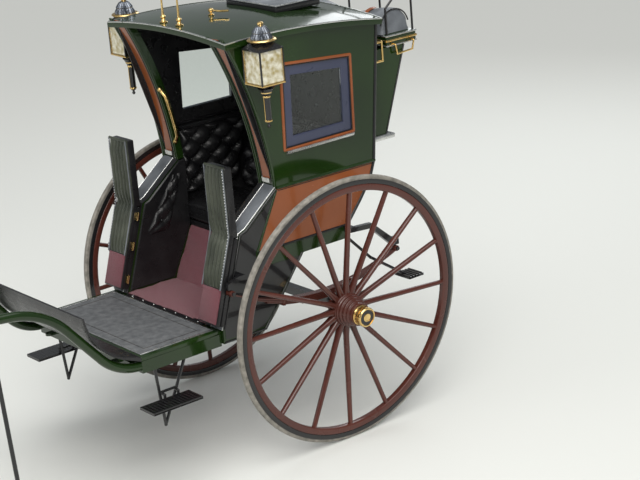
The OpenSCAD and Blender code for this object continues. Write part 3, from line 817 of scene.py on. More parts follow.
# ---------------------------------------------------------------------------
# Lamps. Square candle lamps of japanned tin with bevelled, silvered plates, a
# fluted chimney with a brass collar and knob, and a long spring candle tube.
# ---------------------------------------------------------------------------
cut_plate, plate_nodes, plate_links, plate_shader, plate_coords = new_finish("cut_plate")
plate_links.new(uneven_colour(plate_nodes, plate_links, plate_coords, (0.45, 0.36, 0.14),
        (0.97, 0.94, 0.80), 34, 3),
                plate_shader.inputs["Base Color"])
plate_shader.inputs["Metallic"].default_value = 0.6
plate_shader.inputs["Roughness"].default_value = 0.12
plate_shader.inputs["Coat Weight"].default_value = 1.0
facets = plate_nodes.new("ShaderNodeTexVoronoi")
facets.inputs["Scale"].default_value = 42
plate_links.new(plate_coords, facets.inputs["Vector"])
raise_surface(plate_nodes, plate_links, facets.outputs["Distance"], plate_shader, 0.35, 0.004)

grey_metal = polished("grey_metal", (0.10, 0.11, 0.13), (0.22, 0.24, 0.27), 0.22)

lamp_place = (0.330, 0.600)


def lamp_frame(side):
    return Matrix.Translation(at(lamp_place[0], side * lamp_place[1], 0)) @ Matrix.Scale(side, 4, (0, 1, 0))


def lamp_part(piece, finish, side, crease=35):
    piece = settle(piece, finish, "cab", lamp_frame(side), crease)
    if side < 0:
        face_outward(piece)
    return piece


def block(name, low, high, bevel=0.0015, segments=2):
    (x0, y0, z0), (x1, y1, z1) = low, high
    return box_between(name, [(x0, y0, z0), (x1, y0, z0), (x1, y1, z0), (x0, y1, z0),
                              (x0, y0, z1), (x1, y0, z1), (x1, y1, z1), (x0, y1, z1)], bevel, segments)


for side, name in ((1, "left"), (-1, "right")):
    low, high = 1.956, 2.128
    core = block("lamp_core_" + name, (-0.064, -0.064, low), (0.064, 0.064, high), 0.001)
    lamp_part(core, black_enamel, side)
    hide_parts("lamps")
    corners = []
    for x in (-1, 1):
        for y in (-1, 1):
            post = block("lamp_post_" + name, (x * 0.0685 - 0.004, y * 0.0685 - 0.004, low),
                         (x * 0.0685 + 0.004, y * 0.0685 + 0.004, high), 0.0015, 3)
            corners.append(post)
    lamp_part(joined("lamp_posts_" + name, corners), black_enamel, side)
    for face in range(3):
        turn_face = Matrix.Rotation(face * math.pi / 2, 4, "Z")
        deselect()
        outer = [(-0.066, -0.082), (0.066, -0.082), (0.066, 0.082), (-0.066, 0.082)]
        inner = [(-0.050, -0.066), (0.050, -0.066), (0.050, 0.066), (-0.050, 0.066)]
        middle_z = (low + high) / 2
        mesh = bpy.data.meshes.new("lamp_plate")
        vertices = [(0.0665, a, middle_z + b) for a, b in outer] + [(0.0705, a, middle_z + b) for a,
                b in inner]
        mesh.from_pydata(vertices, [], [(0, 1, 5, 4), (1, 2, 6, 5), (2, 3, 7, 6), (3, 0, 4, 7), (4, 5, 6, 7)])
        plate = bpy.data.objects.new("lamp_plate_" + name, mesh)
        bpy.context.collection.objects.link(plate)
        plate.matrix_world = turn_face
        bpy.context.view_layer.update()
        lamp_part(plate, cut_plate, side, 5)
        edge_line = [(Vector((0.069, a, middle_z + b)), Vector((1, 0, 0)))
                     for a, b in ((-0.066, -0.082), (0.066, -0.082), (0.066, 0.082), (-0.066, 0.082))]
        rim = swept("lamp_plate_rim_" + name, edge_line, bead(0.004, 0.002), closed=True)
        rim.matrix_world = turn_face
        bpy.context.view_layer.update()
        lamp_part(rim, brass, side)
    base = turned("lamp_base_" + name, [(0.0, 1.900), (0.024, 1.900), (0.028, 1.912), (0.040, 1.930),
            (0.0, 1.930)], 48)
    lamp_part(base, black_enamel, side)
    deselect()
    bpy.ops.mesh.primitive_cone_add(vertices=4, radius1=0.032, radius2=0.098, depth=0.030,
            rotation=(0, 0, math.pi / 4),
                                    location=(0, 0, 1.942))
    hopper = bpy.context.object
    lamp_part(hopper, black_enamel, side, 20)
    rim_low = block("lamp_foot_rim_" + name, (-0.0725, -0.0725, 1.952), (0.0725, 0.0725, 1.962), 0.003, 3)
    lamp_part(rim_low, brass, side)
    rim_high = block("lamp_top_rim_" + name, (-0.0725, -0.0725, 2.122), (0.0725, 0.0725, 2.131), 0.003, 3)
    lamp_part(rim_high, black_enamel, side)
    deselect()
    bpy.ops.mesh.primitive_cone_add(vertices=4, radius1=0.098, radius2=0.060, depth=0.024,
            rotation=(0, 0, math.pi / 4),
                                    location=(0, 0, 2.1425))
    lamp_part(bpy.context.object, black_enamel, side, 20)
    neck = turned("lamp_neck_" + name, [(0.0, 2.150), (0.040, 2.150), (0.044, 2.160), (0.044, 2.166),
            (0.0, 2.166)], 48)
    lamp_part(neck, black_enamel, side)
    collar = turned("lamp_collar_" + name, rounded_outline([
        (0.036, 2.162), (0.066, 2.162), (0.074, 2.169), (0.066, 2.176), (0.036, 2.176)], 0.003, 3), 64)
    lamp_part(collar, brass, side)
    chimney = turned("lamp_chimney_" + name, [
        (0.0, 2.176), (0.051, 2.176), (0.050, 2.186), (0.043, 2.198), (0.040, 2.202), (0.043, 2.206),
        (0.039, 2.214),
        (0.026, 2.232), (0.018, 2.237), (0.0, 2.237)], 144)
    for vertex in chimney.data.vertices:
        angle = math.atan2(vertex.co.y, vertex.co.x)
        reach = math.hypot(vertex.co.x, vertex.co.y)
        if reach > 0.02:
            ripple = 1 + 0.06 * math.cos(angle * 18)
            vertex.co.x *= ripple
            vertex.co.y *= ripple
    lamp_part(chimney, grey_metal, side)
    knob = turned("lamp_knob_" + name, [(0.0, 2.235), (0.014, 2.235), (0.012, 2.240), (0.016, 2.245),
            (0.015, 2.252),
                                        (0.008, 2.257), (0.0, 2.258)], 32)
    lamp_part(knob, brass, side)
    holder = turned("candle_tube_" + name, [
        (0.0, 1.762), (0.016, 1.762), (0.0165, 1.772), (0.0165, 1.888), (0.019, 1.896), (0.0, 1.900)], 40)
    lamp_part(holder, black_enamel, side)
    for z0, radius in ((1.763, 0.0185), (1.884, 0.0195), (1.906, 0.027)):
        ring = turned("tube_band_" + name, [(0.010, z0), (radius, z0), (radius + 0.001, z0 + 0.004),
                (radius, z0 + 0.008),
                                            (0.010, z0 + 0.008)], 40)
        lamp_part(ring, brass, side)
    for spread in (-1, 1):
        stay = tube("tube_stay_" + name, [(spread * 0.0178, 0.0, 1.768), (spread * 0.0178, 0.0, 1.888)],
                0.0018)
        lamp_part(stay, brass, side)
    tip = turned("candle_tip_" + name, [(0.0, 1.730), (0.006, 1.733), (0.010, 1.740), (0.006, 1.746),
            (0.006, 1.752),
                                        (0.013, 1.757), (0.013, 1.764), (0.0, 1.764)], 32)
    lamp_part(tip, black_enamel, side)
    arm = block("lamp_bracket_" + name, (-0.010, -0.100, 1.990), (0.010, -0.062, 2.100), 0.003, 3)
    lamp_part(arm, black_enamel, side)
    plate = block("lamp_bracket_plate_" + name, (-0.022, -0.1005, 1.975), (0.022, -0.094, 2.115), 0.003, 3)
    lamp_part(plate, black_enamel, side)

# ---------------------------------------------------------------------------
# Trimming inside. Black hide drawn down over horsehair with rows of buttons in a
# diamond pattern, a stuffed seat cushion, and wool pile carpet in the foot well.
# ---------------------------------------------------------------------------


def buttoned(name, place, width, height, spacing, depth, edge=0.02, fine=7):
    """A stuffed panel: place(u, v, out) is a point; buttons sit in staggered rows and folds join them."""
    deselect()
    columns = max(2, round(width / spacing[0]))
    rows_count = max(2, round(height / spacing[1]))
    nu, nv = columns * fine, rows_count * fine
    shape = bmesh.new()
    grid = []
    for j in range(nv + 1):
        line = []
        for i in range(nu + 1):
            u, v = i / nu * columns, j / nv * rows_count
            p, q = u + v, u - v
            across = abs(math.sin(math.pi * p / 2)) * abs(math.sin(math.pi * q / 2))
            fold = min(abs(math.sin(math.pi * p / 2)), abs(math.sin(math.pi * q / 2)))
            puff = 0.28 + 0.72 * across ** 0.5 * 0.6 + 0.4 * fold ** 0.7
            button = math.hypot(p / 2 - round(p / 2), q / 2 - round(q / 2))
            puff *= min(1.0, 0.10 + button * 3.2)
            rim = min(i / nu * width, (1 - i / nu) * width, j / nv * height, (1 - j / nv) * height)
            puff *= min(1.0, 0.25 + rim / edge * 0.75)
            crumple = 0.0009 * math.sin(u * 5.1 + v * 7.3) + 0.0007 * math.sin(u * 13.7 - v * 9.1)
            line.append(shape.verts.new(place(i / nu, j / nv, depth * puff + crumple)))
        grid.append(line)
    for a, b in zip(grid, grid[1:]):
        for i in range(nu):
            shape.faces.new((a[i], a[i + 1], b[i + 1], b[i]))
    made = turned_in(shape)
    back = place(0.5, 0.5, -0.012) - place(0.5, 0.5, 0)
    for vertex in made:
        vertex.co += back
    piece = closed_up(name, shape)
    settle(piece, black_leather, "cab", None, 70)
    heads = []
    for j in range(rows_count + 1):
        for i in range(columns + 1):
            inside = 0 < i < columns and 0 < j < rows_count
            if inside and (i + j) % 2 == 0:
                spot = place(i / columns, j / rows_count, depth * 0.16)
                bpy.ops.mesh.primitive_uv_sphere_add(segments=12, ring_count=6, radius=0.008, location=spot)
                heads.append(bpy.context.object)
                deselect()
    buttons = settle(joined(name + "_buttons", heads), black_leather, "cab", None, 60)
    return piece


def along(points, share):
    """A point and its forward side part way along a row of (x, z) places."""
    lengths = [math.dist(a, b) for a, b in zip(points, points[1:])]
    want = share * sum(lengths)
    for (a, b), length in zip(zip(points, points[1:]), lengths):
        if want <= length or (a, b) == (points[-2], points[-1]):
            t = min(1.0, want / length)
            x, z = a[0] + (b[0] - a[0]) * t, a[1] + (b[1] - a[1]) * t
            out = Vector((b[1] - a[1], 0, -(b[0] - a[0]))).normalized()
            return x, z, out
        want -= length


back_line = [(-0.190, 1.140), (-0.222, 1.300), (-0.300, 1.530)]


def back_place(u, v, out):
    x, z, forward = along(back_line, v)
    return at(x, 0.398 - u * 0.796, z) + forward * out


back_pad = buttoned("buttoned_back", back_place, 0.796, 0.41, (0.066, 0.060), 0.036)
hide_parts("back_cushion")

roll = tube("back_top_roll", [at(-0.300, y, 1.535) for y in (-0.396, -0.2, 0, 0.2, 0.396)], 0.018)
settle(roll, black_leather, "cab")

for side, name in ((1, "left"), (-1, "right")):
    def side_place(u, v, out, side=side):
        low_x, high_x = -0.175 - 0.105 * v, 0.185 - 0.010 * v
        return at(low_x + (high_x - low_x) * u, side * (0.445 - out), 1.165 + 0.360 * v)

    pad = buttoned("buttoned_side_" + name, side_place, 0.40, 0.36, (0.066, 0.060), 0.034)
    if side == 1:
        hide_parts("side_cushions")
    welt = tube("side_top_welt_" + name,
            [at(-0.285, side * 0.430, 1.531), at(0.178, side * 0.430, 1.531)], 0.012)
    settle(welt, black_leather, "cab")

deselect()
seat = block("seat_cushion_body", (-0.150, -0.434, 1.041), (0.215, 0.434, 1.142), 0.026, 5)
seat.location = at(0, 0, 0)
for vertex in seat.data.vertices:
    fall = 1 - ((vertex.co.y / 0.434) ** 2) ** 2
    crown_up = max(0.0, 1 - ((vertex.co.x - 0.03) / 0.19) ** 2)
    if vertex.co.z > 1.11:
        vertex.co.z += 0.012 * fall * crown_up
settle(seat, black_leather, "cab", None, 50)
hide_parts("seat_cushion")
for z in (1.062, 1.128):
    welt = tube("seat_welt", [at(0.213, y, z) for y in (-0.425, 0, 0.425)], 0.0045)
    settle(welt, black_leather, "cab")

for side, name in ((1, "left"), (-1, "right")):
    for label, low_y, outer, inner in (
            ("upper_lining", 0.4665, [(0.235, 1.385), (-0.395, 1.385), (-0.470, 2.095), (0.470, 2.150)],
             [(0.167 - 0.050, 1.570 + 0.052), (-0.266 + 0.052, 1.572 + 0.052),
             (-0.277 + 0.052, 1.955 - 0.052),
              (0.150 - 0.045, 1.990 - 0.056)]),
            ("lower_lining", 0.4665, [(0.385, 1.088), (-0.190, 1.088), (-0.390, 1.385), (0.240, 1.385)],
            None)):
        deselect()
        shape = bmesh.new()
        ring = [shape.verts.new(at(x, side * low_y, z)) for x, z in outer]
        if inner:
            hole = [shape.verts.new(at(x, side * low_y, z)) for x, z in inner]
            for k in range(4):
                shape.faces.new((ring[k], ring[(k + 1) % 4], hole[(k + 1) % 4], hole[k]))
        else:
            shape.faces.new(ring)
        made = turned_in(shape)
        for vertex in made:
            vertex.co.y += side * 0.0045
        panel = closed_up(label + "_" + name, shape)
        settle(panel, black_leather, "cab")
    rail = swept("inside_rail_" + name, [(at(-0.385, side * 0.4665, 1.548), Vector((0, -side, 0))),
                                         (at(0.262, side * 0.4665, 1.548), Vector((0, -side, 0)))],
                 bead(0.020, 0.008))
    settle(rail, black_enamel, "cab")

for side, name in ((1, "left"), (-1, "right")):
    def wing_place(u, v, out, side=side):
        low_x, high_x = 0.245 + 0.115 * (1 - v), 0.300 + 0.205 * (1 - v)
        return at(low_x + (high_x - low_x) * u, side * (0.3545 - out), 1.030 + 0.290 * v)

    wing_pad = buttoned("buttoned_wing_" + name, wing_place, 0.15, 0.29, (0.066, 0.060), 0.016)

rear_line = [(-0.168, 1.095), (-0.338, 1.300), (-0.373, 1.380), (-0.450, 2.100)]
rear_lining = swept("rear_lining", facing_line(rear_line, 0), [(-0.001, 0.466), (-0.001, -0.466),
        (0.003, -0.466), (0.003, 0.466)])
settle(rear_lining, black_leather, "cab")

seat_front = block("seat_front_board", (0.203, -0.437, 1.012), (0.210, 0.437, 1.042), 0.001)
seat_front.location = at(0, 0, 0)
settle(seat_front, black_leather, "cab")

# ---------------------------------------------------------------------------
# Floor and wings. The grey mat is let into a painted board with a metal edge, the
# well is lined with carpet, and the wings are capped with hide under silver trims.
# ---------------------------------------------------------------------------
mat = block("floor_mat", (0.690, -0.445, 0.738), (1.108, 0.445, 0.7425), 0.002, 2)
mat.location = at(0, 0, 0)
settle(mat, deck_mat, "cab")
board = block("footboard_planks", (0.655, -0.480, 0.718), (1.130, 0.480, 0.7395), 0.003, 3)
board.location = at(0, 0, 0)
settle(board, coach_green, "cab")
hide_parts("footboard")
mat_line = [(0.690, -0.445), (1.108, -0.445), (1.108, 0.445), (0.690, 0.445)]
for amount, width, finish in ((-0.004, 0.010, bright_trim), (0.050, 0.005, dark_rubber)):
    run = [(at(x, y, 0.7415), Vector((0, 0, 1))) for x, y in inset(mat_line, amount)]
    trim = swept("mat_trim", run, bead(width, 0.0035), closed=True)
    settle(trim, finish, "cab")

threshold = block("threshold_strip", (0.640, -0.350, 0.7395), (0.690, 0.350, 0.7445), 0.0015, 2)
threshold.location = at(0, 0, 0)
settle(threshold, black_enamel, "cab")
screws = settle(studs("threshold_screws", [at(0.665, y * 0.1, 0.7440) for y in (-3, -2, -1, 0, 1, 2, 3)],
        0.0045),
                bright_trim, "cab")


def carpet_piece(name, outline, y0, y1, thickness):
    """A cut of pile carpet laid along a row of (x, z) places, bound at its ends."""
    deselect()
    shape = bmesh.new()
    rows = []
    count = 40
    for j in range(len(outline)):
        x, z = outline[j]
        before = outline[max(0, j - 1)]
        after = outline[min(len(outline) - 1, j + 1)]
        out = Vector((after[1] - before[1], 0, -(after[0] - before[0]))).normalized() * -1
        if out.z < 0 and abs(out.z) > 0.2:
            out = -out
        row = []
        for i in range(count + 1):
            y = y0 + (y1 - y0) * i / count
            wave = 0.0025 * math.sin(y * 17 + j * 0.9) + 0.0015 * math.sin(y * 41 + j * 2.1)
            row.append(shape.verts.new(at(x, y, z) + out * (thickness + wave)))
        rows.append(row)
    for a, b in zip(rows, rows[1:]):
        for i in range(count):
            shape.faces.new((a[i], a[i + 1], b[i + 1], b[i]))
    made = turned_in(shape)
    for vertex in made:
        vertex.co.z -= thickness * 0.8
        vertex.co.x -= thickness * 0.5
    piece = closed_up(name, shape)
    settle(piece, carpet, "cab", None, 60)
    return piece


def laid_on(name, foot, face, foot_y, face_y):
    """A thin facing laid on a wing: its foot outline at one y and its raised outline at another."""
    mesh = bpy.data.meshes.new(name)
    size = len(foot)
    mesh.from_pydata([tuple(at(x, foot_y, z)) for x, z in foot] + [tuple(at(x, face_y, z)) for x,
            z in face], [],
                     [tuple(range(size, 2 * size))] + [
                         (k, (k + 1) % size, (k + 1) % size + size, k + size) for k in range(size)])
    piece = bpy.data.objects.new(name, mesh)
    bpy.context.collection.objects.link(piece)
    face_outward(piece)
    return piece


well = [(0.655 - 0.315 * k / 12, 0.740) for k in range(12)]
well += [(0.340 - 0.135 * k / 12, 0.740 + 0.270 * k / 12) for k in range(13)]
carpet_piece("well_carpet", well, -0.358, 0.358, 0.007)

for side, name in ((1, "left"), (-1, "right")):
    cheek = [(0.640, 0.752), (0.492, 1.205), (0.463, 1.215), (0.400, 1.265), (0.250, 1.385), (0.205, 1.385),
             (0.215, 1.020), (0.350, 0.752)]
    lining = laid_on("wing_lining_" + name, cheek, inset(cheek, 0.006), side * 0.3605, side * 0.354)
    settle(lining, black_leather, "cab")
    ledge_line = [(0.655, 0.742), (0.5045, 1.2085), (0.463, 1.2235), (0.2505, 1.3915)]
    for y0, y1, lift, finish, label in (
            (0.405, 0.494, 0.0035, grey_leather, "wing_cap"),
            (0.361, 0.402, 0.0045, black_leather, "wing_inner_band")):
        half = (y1 - y0) / 2
        cap = swept(label + "_" + name, facing_line(ledge_line, side * (y0 + y1) / 2), [
            (-0.001, half), (-0.001, -half), (lift * 0.6, -half), (lift, -half + 0.006),
            (lift + 0.001, 0), (lift, half - 0.006), (lift * 0.6, half)])
        settle(cap, finish, "cab")
    for y, width in ((0.4035, 0.0045), (0.4965, 0.005)):
        trim = swept("wing_trim_" + name, facing_line(ledge_line, side * y), bead(width, 0.0045))
        settle(trim, bright_trim, "cab")
    # Painted shade: a thin black sheet laid over the lower side of the green wing stands in for the shade and dark
    # reflection that fall there.
    panel_line = [(0.640, 0.690), (0.640, 0.742), (0.488, 1.196), (0.452, 1.206), (0.262, 1.355),
            (0.410, 1.088),
                  (0.410, 1.000), (0.142, 1.000), (0.398, 0.690)]
    wing_shade_sheet = laid_on("wing_side_" + name, panel_line, panel_line, side * 0.4995, side * 0.5015)
    settle(wing_shade_sheet, black_enamel, "cab")
    edge = swept("wing_edge_bead_" + name, side_line([(0.643, 0.745), (0.496, 1.200), (0.459, 1.212),
            (0.252, 1.378)],
                                                     0.5, side), bead(0.012, 0.006))
    settle(edge, black_enamel, "cab")
    seam = swept("wing_seam_" + name, side_line([(0.398, 1.086), (0.250, 1.376)], 0.5, side),
            bead(0.014, 0.006))
    settle(seam, coach_green, "cab")
    lower = swept("wing_lower_bead_" + name, side_line([(0.646, 0.676), (0.392, 0.676), (0.122, 1.012)],
            0.5, side),
                  bead(0.010, 0.005))
    settle(lower, black_enamel, "cab")

# ---------------------------------------------------------------------------
# Roof. Painted canvas over boards, with a metal drip edge all round, brass rein
# posts on turned bases, a lifting lever and its knob, and a leather-covered hatch.
# ---------------------------------------------------------------------------
eave_front, eave_rear = Vector((0.490, 2.166)), Vector((-0.492, 2.112))
eave_chord = eave_front - eave_rear
eave_rise = 0.027
eave_radius = (eave_chord.length ** 2 / 4 + eave_rise ** 2) / (2 * eave_rise)
eave_middle = (eave_front + eave_rear) / 2
eave_down = Vector((eave_chord.y, -eave_chord.x)).normalized()
eave_centre = eave_middle + eave_down * (eave_radius - eave_rise)
roof_crown = 0.032
crown_radius = (0.520 ** 2 + roof_crown ** 2) / (2 * roof_crown)


def on_roof(x_share, y, lift=0.0):
    """A place on the roof: x_share runs from the rear eave to the front one, y is across."""
    rear_angle = math.atan2(eave_rear.y - eave_centre.y, eave_rear.x - eave_centre.x)
    front_angle = math.atan2(eave_front.y - eave_centre.y, eave_front.x - eave_centre.x)
    angle = rear_angle + (front_angle - rear_angle) * x_share
    reach = eave_radius + roof_crown - crown_radius + math.sqrt(max(0.0, crown_radius ** 2 - y ** 2)) + lift
    return at(eave_centre.x + reach * math.cos(angle), y, eave_centre.y + reach * math.sin(angle))


def roof_edge(x_share_low, x_share_high, y_low, y_high, lift, steps=24):
    run = []
    for k in range(steps + 1):
        share = k / steps
        x_share = x_share_low + (x_share_high - x_share_low) * share
        y = y_low + (y_high - y_low) * share
        run.append(on_roof(x_share, y, lift))
    return run


for side, name in ((1, "left"), (-1, "right")):
    for lift, height, finish, label in (
            (-0.018, 0.013, coach_green, "drip_face"), (-0.001, 0.0035, bright_trim, "drip_lip")):
        line = [(p, Vector((0, side, 0))) for p in roof_edge(-0.004, 1.004, side * 0.5195, side * 0.5195,
                lift)]
        strip = swept(label + "_" + name, line, [(-0.001, height), (-0.001, -height), (0.003, -height),
                                                 (0.0045, 0), (0.003, height)])
        settle(strip, finish, "cab")
for x_share, forward, name in ((1.0, 1, "front"), (0.0, -1, "rear")):
    for lift, height, finish, label in (
            (-0.018, 0.013, coach_green, "drip_face"), (-0.001, 0.0035, bright_trim, "drip_lip")):
        line = [(p, Vector((forward, 0, 0))) for p in roof_edge(x_share, x_share, -0.522, 0.522, lift, 40)]
        strip = swept(label + "_" + name, line, [(-0.001, height), (-0.001, -height), (0.003, -height),
                                                 (0.0045, 0), (0.003, height)])
        settle(strip, finish, "cab")


def on_roof_frame(x, y, lift=0.0):
    """Stands a turned piece on the roof at x forward of the axle and y across."""
    share = 0.5
    for _ in range(20):
        share += (x - (on_roof(share, y).x - axle_x)) / eave_chord.length
    return on_roof(share, y, lift)


for y in (-0.070, 0.070):
    foot_place = on_roof_frame(0.440, y)
    post = turned("rein_post", [(0.0, 0.0), (0.020, 0.0), (0.021, 0.005), (0.012, 0.009), (0.009, 0.020),
            (0.014, 0.027),
                                (0.014, 0.033), (0.007, 0.040), (0.0055, 0.060),
                                (0.0045, 2.342 - foot_place.z),
                                (0.0, 2.342 - foot_place.z)], 32)
    settle(post, brass, "cab", Matrix.Translation(foot_place))
    for sweep in (0, 1, 2, 3):
        screw_angle = sweep * math.pi / 2 + 0.6
        deselect()
        bpy.ops.mesh.primitive_uv_sphere_add(segments=10, ring_count=6, radius=0.0028, location=(
            foot_place + Vector((0.0165 * math.cos(screw_angle), 0.0165 * math.sin(screw_angle), 0.005))))
        settle(bpy.context.object, brass, "cab")
top_bar = tube("rein_bar", [at(0.440, -0.082, 2.344), at(0.440, -0.060, 2.346), at(0.440, 0, 2.346),
                            at(0.440, 0.060, 2.346), at(0.440, 0.082, 2.344)], 0.006, False, 24)
settle(top_bar, brass, "cab")
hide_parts("rein_guide")

headcloth_rows = []
shape = bmesh.new()
for i in range(17):
    headcloth_rows.append([shape.verts.new(on_roof(0.03 + 0.94 * i / 16, -0.462 + 0.924 * j / 24, -0.0325))
                           for j in range(25)])
for a, b in zip(headcloth_rows, headcloth_rows[1:]):
    for j in range(24):
        middle_spot = (a[j].co + b[j + 1].co) / 2
        if not (-0.352 < middle_spot.x - axle_x < -0.048 and abs(middle_spot.y) < 0.222):
            shape.faces.new((a[j], b[j], b[j + 1], a[j + 1]))
bmesh.ops.delete(shape, geom=[v for v in shape.verts if not v.link_faces], context="VERTS")
made = turned_in(shape)
for vertex in made:
    vertex.co.z += 0.004
headlining = closed_up("headlining", shape)
settle(headlining, black_leather, "cab", None, 60)

lever_place = on_roof_frame(0.215, 0.030)
knob = turned("lever_knob", [(0.0, 0.0), (0.015, 0.0), (0.016, 0.006), (0.008, 0.010), (0.008, 0.018),
        (0.014, 0.024),
                             (0.014, 0.032), (0.008, 0.038), (0.0, 0.040)], 32)
settle(knob, brass, "cab", Matrix.Translation(lever_place))
lever_end = on_roof_frame(0.155, 0.100, 0.024)
lever = tube("door_lever",
        [lever_place + Vector((0, 0, 0.028)), lever_place * 0.5 + lever_end * 0.5 + Vector((0, 0, 0.010)),
                            lever_end], 0.0055)
settle(lever, brass, "cab")

lid = block("hatch_board", (-0.344, -0.214, 2.182), (-0.056, 0.214, 2.212), 0.003, 3)
lid.location = at(0, 0, 0)
settle(lid, black_enamel, "hatch_lid")
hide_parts("roof_hatch")
top = block("hatch_leather", (-0.338, -0.208, 2.211), (-0.062, 0.208, 2.221), 0.005, 4)
top.location = at(0, 0, 0)
settle(top, grey_leather, "hatch_lid")
ring = swept("hatch_edge", [(at(x, y, 2.218), Vector((0, 0, 1))) for x, y in
                            ((-0.341, -0.211), (-0.059, -0.211), (-0.059, 0.211), (-0.341, 0.211))],
             bead(0.010, 0.005), closed=True)
settle(ring, bright_trim, "hatch_lid")
pull = tube("hatch_pull", [at(-0.085, -0.040, 2.178), at(-0.085, -0.040, 2.162), at(-0.085, 0.040, 2.162),
                           at(-0.085, 0.040, 2.178)], 0.0045)
settle(pull, brass, "hatch_lid")

# ---------------------------------------------------------------------------
# Driver's place. A shallow box with brass beads carries a domed hide cushion,
# seamed across its ends, inside an iron rail; below it a board takes the feet.
# ---------------------------------------------------------------------------
box_low, box_high = 1.920, 1.982
seat_box = block("seat_box", (-0.820, -0.400, box_low), (-0.616, 0.400, box_high), 0.003, 3)
seat_box.location = at(0, 0, 0)
settle(seat_box, coach_green, "cab")
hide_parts("driver_seat_box")
box_line = [(-0.616, -0.400), (-0.820, -0.400), (-0.820, 0.400), (-0.616, 0.400)]


def round_box(name, height, section, finish):
    strips = []
    for (x0, y0), (x1, y1) in zip(box_line, box_line[1:] + box_line[:1]):
        a, b = at(x0, y0, height), at(x1, y1, height)
        way = (b - a).normalized()
        out = Vector((way.y, -way.x, 0))
        if out.dot(a - at(-0.718, 0, height)) < 0:
            out = -out
        strips.append(swept(name, [(a - way * 0.002, out), (b + way * 0.002, out)], section))
    piece = joined(name, strips)
    settle(piece, finish, "cab")


round_box("box_brass_bead", 1.951, bead(0.013, 0.007), brass)
round_box("box_top_bead", 1.976, bead(0.010, 0.006), bright_trim)
round_box("box_low_bead", 1.925, bead(0.010, 0.006), bright_trim)

deselect()
shape = bmesh.new()
rows = []
across, around = 96, 28
for i in range(across + 1):
    y = -0.374 + 0.748 * i / across
    saddle = 1 - 0.42 * math.cos(math.pi * y / 0.748) ** 2
    end = min(1.0, (0.374 - abs(y)) / 0.035)
    round_end = 0.80 + 0.20 * math.sqrt(max(0.0, 1 - (1 - end) ** 2))
    row = []
    for k in range(around + 1):
        angle = math.radians(168 - 156 * k / around)
        seam = abs(math.sin(math.pi * k / around * 6)) ** 0.35
        near_end = max(0.0, 1 - (0.374 - abs(y)) / 0.10)
        puff = 1 - 0.035 * (1 - seam) * (0.35 + 0.65 * near_end)
        radius = 0.098 * puff * round_end
        wrinkle = 0.0012 * math.sin(y * 60 + k * 1.3) + 0.0010 * math.sin(y * 23 - k * 0.7)
        x = -0.702 + radius * math.cos(angle)
        z = 1.984 + (0.028 + (radius + wrinkle) * math.sin(angle)) * saddle
        row.append(shape.verts.new(at(x, y, z)))
    row.insert(0, shape.verts.new(at(-0.799 + 0.004 * (1 - end), y, 1.9835)))
    row.append(shape.verts.new(at(-0.605 - 0.004 * (1 - end), y, 1.9835)))
    rows.append(row)
for a, b in zip(rows, rows[1:]):
    for k in range(len(a) - 1):
        shape.faces.new((a[k], a[k + 1], b[k + 1], b[k]))
    shape.faces.new((a[-1], a[0], b[0], b[-1]))
shape.faces.new(rows[0])
shape.faces.new(list(reversed(rows[-1])))
hide_cushion = closed_up("driver_cushion_hide", shape)
settle(hide_cushion, grey_leather, "cab", None, 60)
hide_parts("driver_cushion")
for y in (-0.371, 0.371):
    edge = [at(-0.702 + 0.096 * math.cos(math.radians(a)), y,
            1.984 + (0.028 + 0.096 * math.sin(math.radians(a)))
               * (1 - 0.42 * math.cos(math.pi * y / 0.748) ** 2) * 0.985) for a in range(168, 11, -6)]
    welt = tube("cushion_welt", edge, 0.004)
    settle(welt, black_leather, "cab")
strap = swept("cushion_strap", [(at(-0.702 + 0.101 * math.cos(math.radians(a)), 0.215, 1.984 + (
    0.028 + 0.101 * math.sin(math.radians(a))) * 0.87),
    Vector((math.cos(math.radians(a)), 0, math.sin(math.radians(a)))))
    for a in range(12, 100, 8)], [(0.0, 0.014), (0.0, -0.014), (0.003, -0.014), (0.004, 0), (0.003, 0.014)])
settle(strap, sienna, "cab")

foot_board = block("driver_floor", (-0.615, -0.415, 1.440), (-0.410, 0.415, 1.4650), 0.004, 3)
foot_board.location = at(0, 0, 0)
settle(foot_board, deck_mat, "cab")
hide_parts("driver_footboard")
for y in (-0.415, 0.415):
    out = 1 if y > 0 else -1
    edge = swept("driver_floor_edge", [(at(-0.615, y, 1.4525), Vector((0, out, 0))),
            (at(-0.410, y, 1.4525), Vector((0, out, 0)))],
                 bead(0.024, 0.004))
    settle(edge, bright_trim, "cab")
rear_edge = swept("driver_floor_rear", [(at(-0.615, -0.415, 1.4525), Vector((-1, 0, 0))),
                                        (at(-0.615, 0.415, 1.4525), Vector((-1, 0, 0)))], bead(0.024, 0.004))
settle(rear_edge, bright_trim, "cab")
for side, name in ((1, "left"), (-1, "right")):
    run = [(at(-0.732, side * 0.400, 1.918), Vector((0, side, 0))),
            (at(-0.572, side * 0.400, 1.468), Vector((0, side, 0)))]
    well_bead = swept("well_edge_" + name, run, bead(0.010, 0.005))
    settle(well_bead, black_enamel, "cab")

# ---------------------------------------------------------------------------
# Running gear. Steel leaves stacked and clamped under the axle's ends, hung from
# forged irons by shackles; forged step irons carry ribbed treads.
# ---------------------------------------------------------------------------
spring_front, spring_rear = Vector((0.609, 0.935)), Vector((-0.461, 0.889))
spring_radius = 1.280
spring_chord = spring_front - spring_rear
spring_middle = (spring_front + spring_rear) / 2
spring_up = Vector((-spring_chord.y, spring_chord.x)).normalized()
spring_centre = spring_middle + spring_up * math.sqrt(spring_radius ** 2 - (spring_chord.length / 2) ** 2)
angle_rear = math.atan2(spring_rear.y - spring_centre.y, spring_rear.x - spring_centre.x)
angle_front = math.atan2(spring_front.y - spring_centre.y, spring_front.x - spring_centre.x)
spring_y = 0.536


